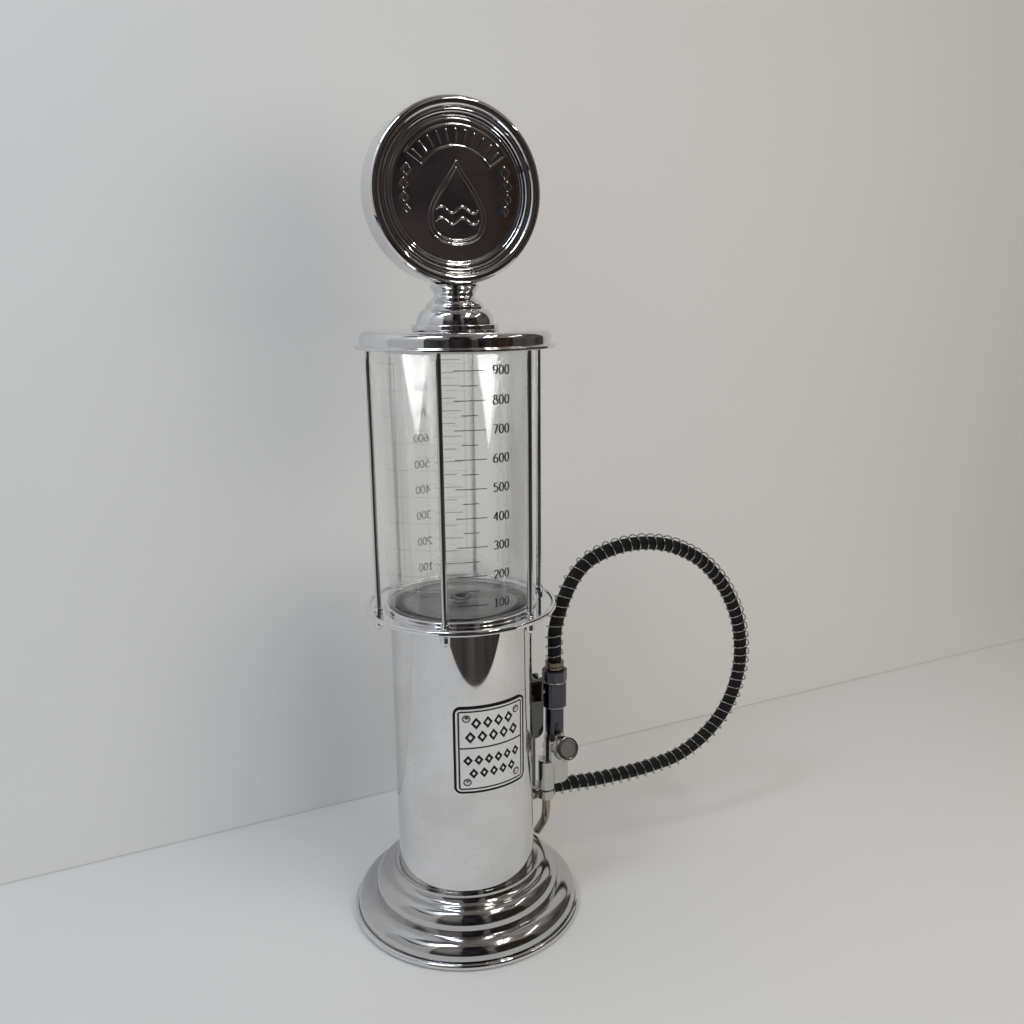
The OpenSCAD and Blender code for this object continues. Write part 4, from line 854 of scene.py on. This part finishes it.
class DISPENSER_OT_head(bpy.types.Operator):
    """Round head: two shells with beaded bezels, and two faces with a raised pattern."""

    bl_idname = "dispenser.head"
    bl_label = "Head"

    def execute(self, context):
        half = (line((50.2, 0), (50.2, 7.8)) + arc((47.0, 7.8), 3.2, 0, 168.4, 28)
                + arc((42.4, 7.8), 1.6, 23.7, 180, 20)
                + line((40.8, 7.8), (40.8, 5.8), (38.8, 5.8), (38.8, 4.2), (48.2, 4.2), (48.2, 0), (50.2, 0)))
        for side, name in ((1, "front"), (-1, "back")):
            show("head_" + name, along_head(revolve(half, 224), side), "chrome", body="cap")
            show("face_" + name, along_head(self.face(), side), "chrome", "cap")
        return {"FINISHED"}

    def face(self):
        """Polar sheet with z = 7.2 + h: h is the highest ridge 0.32 / (1 + (d / 0.42)^4), d the distance to
        the pattern's lines (a drop, waves, lozenges and an arc of strokes); the normal is
        (-dh/dx, -dh/dy, 1)."""
        rows, cols = 176, 560
        r = np.linspace(0.2, 40.6, rows)
        a = 2 * np.pi * np.arange(cols + 1) / cols
        x, y = r[:, None] * np.cos(a), r[:, None] * np.sin(a)

        def away(path):
            """Distance to a chain of straight pieces."""
            best = np.full(x.shape, 99.0)
            for (x0, y0), (x1, y1) in zip(path[:-1], path[1:]):
                dx, dy = x1 - x0, y1 - y0
                k = np.clip(((x - x0) * dx + (y - y0) * dy) / (dx * dx + dy * dy), 0, 1)
                best = np.minimum(best, np.hypot(x - x0 - k * dx, y - y0 - k * dy))
            return best

        def spoke(deg):
            """Direction at an angle from the top."""
            return np.array([math.sin(math.radians(deg)), math.cos(math.radians(deg))])

        def ridge(d):
            """Height of a raised line at a distance from its middle."""
            return 0.32 / (1 + (d / 0.42) ** 4)

        t = np.linspace(0, 2 * np.pi, 49)
        lines = [vec(k * 24.0 * np.sin(t) * np.sin(t / 2) ** 1.5, k * 22.0 * np.cos(t) - 6.0 - m)
                 for k, m in ((1.0, 0.0), (0.87, 0.8))]
        for level, half in ((-9.5, 12.0), (-15.5, 12.5)):
            u = np.linspace(-half, half, 41)
            lines.append(vec(u, level + 1.7 * np.sin(u * 0.5)))
        lines += [np.array([26.5 * spoke(deg), 32.5 * spoke(deg)]) for deg in range(-50, 51, 10)]
        d = np.radians(np.linspace(-56, 56, 61))
        lines += [vec(radius * np.sin(d), radius * np.cos(d)) for radius in (24.0, 35.0)]
        lines += [np.array([24.0 * spoke(deg), 35.0 * spoke(deg)]) for deg in (-56, 56)]
        diamond = np.array([(0, 1), (0.8, 0), (0, -1), (-0.8, 0), (0, 1)])
        for deg, size in ((70, 3.2), (84, 2.8), (97, 2.5), (109, 2.2)):
            lines += [30.5 * spoke(side * deg) + size * diamond for side in (-1, 1)]
        far = np.hypot(x, y)
        h = ridge(np.minimum(np.abs(far - 39.4), np.abs(far - 37.9)))
        for path in lines:
            h = np.maximum(h, ridge(away(path)))
        dr = np.gradient(h, r, axis=0)
        da = np.gradient(h, a, axis=1) / r[:, None]
        c, s = np.cos(a), np.sin(a)
        n = vec(-(dr * c - da * s), -(dr * s + da * c), 1.0)
        return grid(vec(x, y, 7.2 + h)[::-1], n[::-1])


class DISPENSER_OT_hose(bpy.types.Operator):
    """Rubber hose and the wire spring round it; both follow the lifted tap above the low run."""

    bl_idname = "dispenser.hose"
    bl_label = "Hose"

    def execute(self, context):
        p = context.scene.dispenser_hose
        path = smooth_path(ROUTE, 12)
        hose = show("hose", sweep(path, p.hose / MM / 2, 32), "rubber", None)
        spring = show("hose_spring", self.coil(p), "wire", None)
        for obj in (hose, spring):
            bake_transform(obj)
        return {"FINISHED"}

    def coil(self, p):
        """Wire along c(s) + lift w + R (u cos a + w sin a), a = 2 pi turns s / length, round the hose."""
        wire, radius = p.wire / MM, (p.spring - p.wire) / MM / 2
        fine = smooth_path(ROUTE, 40)
        step = np.linalg.norm(np.diff(fine, axis=0), axis=1)
        s = np.concatenate([[0], np.cumsum(step)])
        lead = 1.5 * wire
        turn = np.linspace(0, p.turns, p.turns * 36 + 1)
        at = lead + (s[-1] - 2 * lead) * turn / p.turns
        at, turn = np.concatenate([[0], at, [s[-1]]]), np.concatenate([[0], turn, [p.turns]])
        u, w = frames(fine)
        c, u, w = (sampled(at, s, q) for q in (fine, u, w))
        a = 2 * np.pi * turn[:, None]
        lift = (p.lift / MM * np.minimum(1, np.minimum(at, s[-1] - at) / 20))[:, None]
        out = u * np.cos(a) + w * np.sin(a)
        return sweep(c + lift * w + radius * out, wire / 2, 8, out)


class DISPENSER_OT_outlet(bpy.types.Operator):
    """Hose outlet on the body, and the holster for the tap."""

    bl_idname = "dispenser.outlet"
    bl_label = "Outlet and holster"

    def execute(self, context):
        outlet = join([prism(rounded(polygon(6, 6.35, 0.4)), 38.5, 47.5, 0.1, 0.4),
                       revolve(line((2, 30), (3.5, 30), (3.5, 39)), 32)])
        show("hose_outlet", along_x(outlet, OUTLET_Y, OUTLET_Z), "chrome")
        ferrule = lathe([(2, 47.5), (6.2, 47.5, 0.5), (6.2, 49.6, 0.4), (5.5, 49.6, 0.3), (5.5, 51.2, 0.3),
                         (6.2, 51.2, 0.4), (6.2, 56, 0.5), (2, 56)], 64)
        show("outlet_ferrule", along_x(ferrule, OUTLET_Y, OUTLET_Z), "chrome")
        # The holster look's near-black colour is painted dark reflection
        show("holster", self.holster(), "holster")
        return {"FINISHED"}

    def holster(self):
        """Saddle: a strip of the cylinder r = 47.5 with a round lower end. Block: its side outline raised
        across, and above the pin a slotted outline raised up."""
        r, half_w, foot, pin, top = 47.5, 5.5, 70, 132.1, 147
        back, front = 43.6, 53.2
        t = np.linspace(0, np.pi / 2, 13)
        z = np.concatenate([foot + half_w * (1 - np.cos(t)), [top]])
        half = np.concatenate([half_w * np.sin(t), [half_w]])
        y = np.linspace(-1, 1, 33)[None] * np.maximum(half, 0.01)[:, None]
        a = np.arcsin(y / r)
        n = vec(np.cos(a), np.sin(a), 0)
        parts = [grid(n * r + vec(0, 0, z[:, None]), n)]
        for e, way in ((0, -1), (-1, 1)):
            out = np.stack([n[:, e] * r, n[:, e] * BODY_SEAT_R]) + vec(0, 0, z)
            d = np.gradient(vec(half * way, z), axis=0)
            nn = vec(0, d[:, 1] * way, -d[:, 0] * way)
            nn = np.where(nn[:, 1:2] * way < 0, -nn, nn)
            parts.append(grid(out, np.stack([nn, nn])))
        side = rounded([(back, 106), (front, 106, 6.0), (front, pin), (back, pin)], n=12)
        lower = prism(side, -half_w, half_w, 0.5, 0.5)
        parts.append(turned(lower, rotation(90, "X")))
        right = [(back, -half_w), (front, -half_w, 0.5), (front, -2.4, 0.3), (51.0, -2.4, 0.2),
                 (51.0, -3.9, 0.2), (48.4, -3.9, 0.2)]
        slot = right + [(x, -y, *corner) for x, y, *corner in right[::-1]]
        parts.append(prism(rounded(slot), pin, top, 0.0, 0.2))
        return join(parts)


class DISPENSER_OT_tap(bpy.types.Operator):
    """Tap: ferrule, coupling nut, sleeve, barrel, valve body, bonnet, button and spout."""

    bl_idname = "dispenser.tap"
    bl_label = "Tap"

    def execute(self, context):
        ferrule = [(2.5, 150.7), (6.2, 150.7, 0.4), (6.2, 152.6, 0.3), (5.6, 152.6, 0.3), (5.6, 153.6, 0.3),
                   (6.2, 153.6, 0.3), (6.2, 156, 0.5), (2.5, 156)]
        show("nozzle_ferrule", moved(lathe(ferrule, 64), TAP_X), "bronze", body="nozzle")
        flats = 22.5
        octagon = polygon(8, 7.6 / math.cos(math.radians(flats)), 0.5, flats)
        nut = prism(rounded(octagon), 141.7, 150.7, 0.5, 0.9)
        # Nut, sleeve and barrel use the tap look: its near-black colour is painted dark reflection
        show("nozzle_nut", moved(nut, TAP_X), "tap", body="nozzle")
        sleeve = lathe([(6.3, 124.7), (7.9, 124.7, 0.7), (7.9, 141.7, 0.3), (6.3, 141.7)])
        show("nozzle_sleeve", moved(sleeve, TAP_X), "tap", body="nozzle")
        beads = join([revolve(arc((r, z), 0.5, 0, 360, 16)) for r, z in ((7.7, 142.3), (7.5, 125.2))])
        make("nozzle_beads", moved(beads, TAP_X), look("steel"), "nozzle")
        barrel = revolve(line((2.5, 106.4), (6.15, 106.4), (6.15, 141.7), (2.5, 141.7), (2.5, 106.4)))
        show("nozzle_barrel", moved(barrel, TAP_X), "tap", body="nozzle")
        pin = [(0, 48.7), (3.5, 48.7, 0.4), (3.5, 50.7, 0.4), (2, 50.7), (2, 60.2), (0, 60.2)]
        show("hang_pin", along_x(lathe(pin, 48, False), 0, 136), "steel", "nozzle")
        show("valve_body", self.valve_body(), "valve", body="nozzle")
        bonnet = lathe([(1.55, 2), (3.25, 2), (3.25, 9.7), (5.2, 9.7, 0.3), (6.8, 14, 0.5), (6.8, 18.5),
                        (6.2, 18.5), (6.2, 15.2), (3.8, 15.2), (3.8, 10.5), (1.55, 10.5)])
        show("valve_bonnet", along_button(bonnet), "valve", body="nozzle")
        show("bezel_ring", along_button(self.bezel()), "steel", body="nozzle")
        cap = lathe([(0, 18), (5.9, 18), (5.9, 20.3), (5.3, 20.3), (5.3, 22, 0.5), (4.3, 22, 0.2),
                     (4.1, 21.75, 0.2), (2.6, 21.75, 0.2), (2.4, 22, 0.2), (0, 22)], closed=False)
        show("button_cap", along_button(cap), "dull", body="button")
        nut = join([prism(rounded(polygon(6, 5.77, 0.4)), 59.3, 65.8, 0.5, 0.5),
                    revolve(line((4.25, 65.5), (4.25, 66.5), (2.95, 66.5)), 48)])
        show("spout_nut", moved(nut, PIPE_X), "valve", body="nozzle")
        show("spout", self.spout(), "stainless", "nozzle")
        self.inside()
        return {"FINISHED"}

    def spout(self):
        """Tube along a straight run, a bend of radius 26 through 38 degrees towards the back, and a tip."""
        r, bore, bend_r, bend_deg = 2.8, 2.2, 26, 38
        a = np.radians(np.linspace(0, bend_deg, 25))
        bend = vec(PIPE_X, bend_r * (1 - np.cos(a)), 53.8 - bend_r * np.sin(a))
        way = np.array([0, math.sin(a[-1]), -math.cos(a[-1])])
        tip = bend[-1] + np.linspace(0, 14.5, 9)[1:, None] * way
        path = np.concatenate([np.linspace((PIPE_X, 0, 66.5), bend[0], 9)[:-1], bend, tip])
        v, t, m = sweep(path[::-1], bore, 32, ends=False)
        mouth = turned(revolve(line((r, 0), (bore, 0)), 32),
                       Matrix.Translation(path[-1]) @ rotation(180 + bend_deg, "X"))
        return join([sweep(path, r, 32, ends=False), (v, t, -m), mouth])

    def valve_body(self):
        """Round head with a sloped shoulder, outlet pipe, side block and the boss of the cross bore."""
        head = lathe([(0, 84), (7.2, 84, 0.5), (7.2, 101.4, 1.2), (6.15, 106.4), (0, 106.4)], closed=False)
        pipe = lathe([(2.5, 66.5), (5.6, 66.5, 0.5), (5.6, 87.5, 1.2), (0, 87.5)], closed=False)
        side = rounded([(PIPE_X, 68.5), (72.5, 68.5, 4.0), (72.5, 90, 1.0), (PIPE_X, 90)], n=8)
        block = turned(prism(side, -5.6, 2.4, 0.8, 0.8), rotation(90, "X"))
        boss = lathe([(0, -9.1), (5.2, -9.1, 0.8), (5.2, 9.7), (0, 9.7)], closed=False)
        return join([moved(head, TAP_X), moved(pipe, PIPE_X), block, along_button(boss)])

    def bezel(self):
        """Ring whose outer wall is knurled: r = 7.8 - 0.15 (1 - cos 30 a), between two plain ends."""
        knurl_r = 7.8
        profile = (rounded([(6.95, 14), (knurl_r, 14, 0.4), (knurl_r, 15.0)], False)
                   + curve(vec(knurl_r, np.linspace(15.0, 20.7, 9)))
                   + rounded([(knurl_r, 20.7), (knurl_r, 21.7, 0.95), (5.6, 21.7, 0.8), (5.6, 20.6),
                              (6.2, 20.6), (6.2, 18.5), (6.95, 18.5), (6.95, 14)], False))
        v, t, m = revolve(profile, 360)
        a = np.arctan2(v[:, 1], v[:, 0])
        r = np.hypot(v[:, 0], v[:, 1])
        wall = (r > knurl_r - 0.01) & (v[:, 2] > 15.2) & (v[:, 2] < 20.5)
        cut = np.where(wall, 0.15 * (1 - np.cos(30 * a)), 0)
        v = v * vec(1 - cut / r, 1 - cut / r, 1.0)
        flat = wall[t].all(1)
        one, two, three = (v[t[flat][:, i]] for i in range(3))
        m[flat] = np.cross(two - one, three - one)[:, None]
        return v, t, m

    def inside(self):
        """What sits in the valve: the stem, its seal, the seat and the button's coil spring."""
        stem = revolve(line((0, -4.35), (2.2, -4.35), (2.2, -3.35), (1.4, -3.35), (1.4, 18), (0, 18)), 32)
        show("plunger_stem", along_button(stem), "steel", "button")
        seal = lathe([(1.45, -3.35), (2.9, -3.35, 0.2), (2.9, -1.85, 0.2), (1.45, -1.85)], 48)
        show("plunger_seal", along_button(seal), "rubber", "button")
        seat = lathe([(1.9, -1.7, 0.2), (3.25, -1.7), (3.25, -0.5), (1.9, -0.5, 0.2)], 48)
        show("valve_seat", along_button(seat), "rubber", "nozzle")
        turns, coil_r, wire_r = 6, 2.6, 0.45
        a = np.linspace(0, 2 * np.pi * turns, turns * 24 + 1)
        out = vec(np.cos(a), np.sin(a), 0)
        coil = sweep(out * coil_r + vec(0, 0, np.linspace(11.0, 17.5, len(a))), wire_r, 8, out)
        spring = show("button_spring", along_button(coil), "steel", "nozzle")
        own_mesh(spring)


class DISPENSER_OT_solids(bpy.types.Operator):
    """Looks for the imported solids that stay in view: screws, bolts and nuts inside."""

    bl_idname = "dispenser.solids"
    bl_label = "Fasteners"

    def execute(self, context):
        for name in ("base_screws", "drain_nut", "outlet_nut", "holster_screws", "neck_bolt",
                     "neck_bolt_nut"):
            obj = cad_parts[name]
            obj.data.materials.clear()
            obj.data.materials.append(look("steel"))
        return {"FINISHED"}


class DISPENSER_OT_stage(bpy.types.Operator):
    """Camera, floor, walls, lamps and the dim room."""

    bl_idname = "dispenser.stage"
    bl_label = "Stage"

    def execute(self, context):
        p = context.scene.dispenser_stage
        self.camera(context.scene, p)
        self.room(context.scene, p)
        self.sheets(p)
        self.panels(p)
        self.lamps(context.scene, p)
        return {"FINISHED"}

    def camera(self, scene, p):
        """Camera fitted to the photograph: its three axes and its place."""
        camera = bpy.data.objects.new("camera", bpy.data.cameras.new("camera"))
        scene.collection.objects.link(camera)
        right, up = (0.92077, -0.39000, -0.00904), (0.09521, 0.20221, 0.97470)
        back = (-0.37830, -0.89834, 0.22332)
        m = Matrix((right, up, back)).transposed().to_4x4()
        m.translation = p.eye
        camera.matrix_world = m
        camera.data.lens = p.lens
        camera.data.sensor_width = 36.0
        camera.data.clip_start = 0.01
        scene.camera = camera
        scene.view_settings.view_transform = "Standard"

    def room(self, scene, p):
        """A pale room where the camera looks past the stage, and a dim, uneven one for what is mirrored."""
        scene.world = scene.world or bpy.data.worlds.new("room")
        scene.world.use_nodes = True
        nodes = Nodes(scene.world.node_tree)
        way = nodes.add("TexCoord").outputs["Generated"]
        height = nodes.add("SeparateXYZ", {0: way}).outputs["Z"]
        spots = nodes.add("TexNoise", {"Vector": way, "Scale": 3.0}).outputs["Fac"]
        level = nodes.math("MULTIPLY", nodes.ramp(height, 0.25 * p.room, p.room, 0.1, 0.8),
                           nodes.ramp(spots, 0.4, 1.6, 0.35, 0.65))
        dim = nodes.put(nodes.first("BACKGROUND"), {"Color": (1, 0.93, 0.88, 1), "Strength": level})
        pale = nodes.add("Background", {"Color": (1, 0.99, 0.975, 1), "Strength": 0.5})
        path = nodes.add("LightPath").outputs
        seen = nodes.math("MAXIMUM", path["Is Camera Ray"], path["Is Transmission Ray"])
        pick = nodes.add("MixShader", {0: seen, 1: dim.outputs[0], 2: pale.outputs[0]})
        nodes.put(nodes.first("OUTPUT_WORLD"), {"Surface": pick.outputs[0]})

    def sheets(self, p):
        """Floor and walls, and dark sheets that only the chrome sees."""
        paper = plain("paper", tuple(p.wall), (0.5, 0.6), 0.25)
        self.sheet("floor", [(-700, -430, 0), (800, -430, 0), (800, 193, 0), (-700, 118, 0)], paper)
        apron = self.sheet("apron", [(x, y, -0.3) for x, y in ((-900, -900), (1000, -900), (1000, 900),
                                                               (-900, 900))], paper)
        apron.visible_glossy = apron.visible_diffuse = apron.visible_shadow = False
        back = self.one_sided(plain("back_paper", tuple(0.95 * v for v in p.wall), (0.5, 0.6), 0.25))
        wall = self.upright("wall", (-700, 118.3), (800, 193.3), 1000, back, bottom=0.4)
        left = self.upright("left", (-620, -430), (-620, 122), 1000, back)
        wall.visible_shadow = left.visible_shadow = False
        dark = mottled("dark_room", (0.015, 0.014, 0.017), (0.06, 0.05, 0.06), 7.0)
        far = mottled("far_room", (0.03, 0.025, 0.03), (0.2, 0.16, 0.17), 5.0)
        wood = mottled("wood", (0.05, 0.035, 0.03), (0.2, 0.13, 0.09), 5.0)
        self.upright("photographer", (-330, -640), (-20, -700), 1500, dark, False)
        self.upright("board", (150, -1400), (600, -1400), 1200, far, False)
        self.upright("shelf", (600, -1400), (1300, -1100), 1200, wood, False)

    def panels(self, p):
        """Two bright wedges that show on the tank alone."""
        glow, nodes, shader = material("panel")
        depth = nodes.add("LightPath").outputs["Diffuse Depth"]
        nodes.put(shader, {"Base Color": (0, 0, 0, 1), "Emission Color": (1, 1, 1, 1),
                           "Emission Strength": nodes.ramp(depth, p.panel, 0.0)})
        seen_in = bpy.data.collections.new("panels_show_in")
        away, top = 400, 332
        for name, turn, half, low in (("panel_left", -77, 170, 249), ("panel_right", 23, 116, 236)):
            t = math.radians(turn)
            x, y, u, v = away * math.sin(t), -away * math.cos(t), half * math.cos(t), half * math.sin(t)
            panel = self.sheet(name, [(x, y, low), (x + u, y + v, top), (x - u, y - v, top)], glow, False)
            panel.visible_diffuse = panel.visible_transmission = False
            panel.light_linking.receiver_collection = seen_in

    def lamps(self, scene, p):
        """A cool strip and three warm tubes overhead, and two soft lamps in front that aren't mirrored."""
        cool, warm = (0.79, 0.87, 1.0), (1.0, 0.955, 0.84)
        tube = ((0.03, 0.5), 0.3 * p.strip, warm, True)
        soft = (0.9, 0.9)
        for name, place, aim, (size, power, colour, mirrored) in (
                ("strip_left", (-420, -220, 1000), (-420, -220, 0), ((0.36, 0.12), p.strip, cool, True)),
                ("tube_1", (245, -500, 1000), (245, -500, 0), tube),
                ("tube_2", (335, -500, 1000), (335, -500, 0), tube),
                ("tube_3", (780, -370, 1000), (780, -370, 0), tube),
                ("fill_left", (-550, -900, 600), (-150, 150, 230), (soft, 0.8 * p.fill, cool, False)),
                ("fill_right", (450, -900, 600), (250, 150, 230), (soft, 1.35 * p.fill, warm, False))):
            lamp = bpy.data.lights.new(name, "AREA")
            lamp.shape = "RECTANGLE"
            lamp.size, lamp.size_y = size
            lamp.energy = power
            lamp.color = colour
            obj = bpy.data.objects.new(name, lamp)
            scene.collection.objects.link(obj)
            turn = (Vector(place) - Vector(aim)).to_track_quat("Z", "Y").to_matrix().to_4x4()
            obj.matrix_world = Matrix.Translation(Vector(place) * MM) @ turn
            obj.visible_glossy = mirrored

    def sheet(self, name, corners, look_of, shown=True):
        """A flat sheet of the stage; one that isn't shown casts no shadow either."""
        mesh = bpy.data.meshes.new(name)
        mesh.from_pydata([tuple(v * MM for v in c) for c in corners], [], [tuple(range(len(corners)))])
        mesh.materials.append(look_of)
        obj = bpy.data.objects.new(name, mesh)
        bpy.context.scene.collection.objects.link(obj)
        obj.visible_shadow = obj.visible_camera = shown
        return obj

    def upright(self, name, one, two, top, look_of, shown=True, bottom=0):
        """An upright sheet over the line from one to two."""
        return self.sheet(name, [(*one, bottom), (*two, bottom), (*two, top), (*one, top)], look_of, shown)

    def one_sided(self, paper):
        """A wall that the camera sees from its front only, so that it hides nothing in views from behind."""
        nodes = Nodes(paper.node_tree)
        out = nodes.first("OUTPUT_MATERIAL")
        behind = nodes.math("MULTIPLY", nodes.add("LightPath").outputs["Is Camera Ray"],
                            nodes.add("NewGeometry").outputs["Backfacing"])
        mix = nodes.add("MixShader", {0: behind, 1: out.inputs["Surface"].links[0].from_socket,
                                      2: nodes.add("BsdfTransparent").outputs["BSDF"]})
        nodes.put(out, {"Surface": mix.outputs["Shader"]})
        return paper


class DISPENSER_PT_panel(bpy.types.Panel):
    """Sidebar panel with the pieces."""

    bl_label = "Pump dispenser"
    bl_space_type = "VIEW_3D"
    bl_region_type = "UI"
    bl_category = "Dispenser"

    def draw(self, context):
        for group in ("hose", "tank", "stage"):
            settings = getattr(context.scene, "dispenser_" + group)
            for key in settings.__annotations__:
                self.layout.prop(settings, key)
        for operator in OPERATORS:
            self.layout.operator(operator.bl_idname)


SETTINGS = {"dispenser_hose": HoseSettings, "dispenser_tank": TankSettings, "dispenser_stage": StageSettings}
OPERATORS = (DISPENSER_OT_stage, DISPENSER_OT_hose, DISPENSER_OT_base, DISPENSER_OT_body, DISPENSER_OT_tray,
             DISPENSER_OT_tank, DISPENSER_OT_scale, DISPENSER_OT_lid, DISPENSER_OT_head, DISPENSER_OT_outlet,
             DISPENSER_OT_tap, DISPENSER_OT_solids)


def register():
    for kind in (*SETTINGS.values(), *OPERATORS, DISPENSER_PT_panel):
        bpy.utils.register_class(kind)
    for name, kind in SETTINGS.items():
        setattr(bpy.types.Scene, name, PointerProperty(type=kind))


def unregister():
    for name in SETTINGS:
        delattr(bpy.types.Scene, name)
    for kind in (DISPENSER_PT_panel, *OPERATORS[::-1], *SETTINGS.values()):
        bpy.utils.unregister_class(kind)


def main():
    register()
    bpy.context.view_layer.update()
    for operator in OPERATORS:
        group, name = operator.bl_idname.split(".")
        getattr(getattr(bpy.ops, group), name)()


if __name__ == "__main__":
    main()
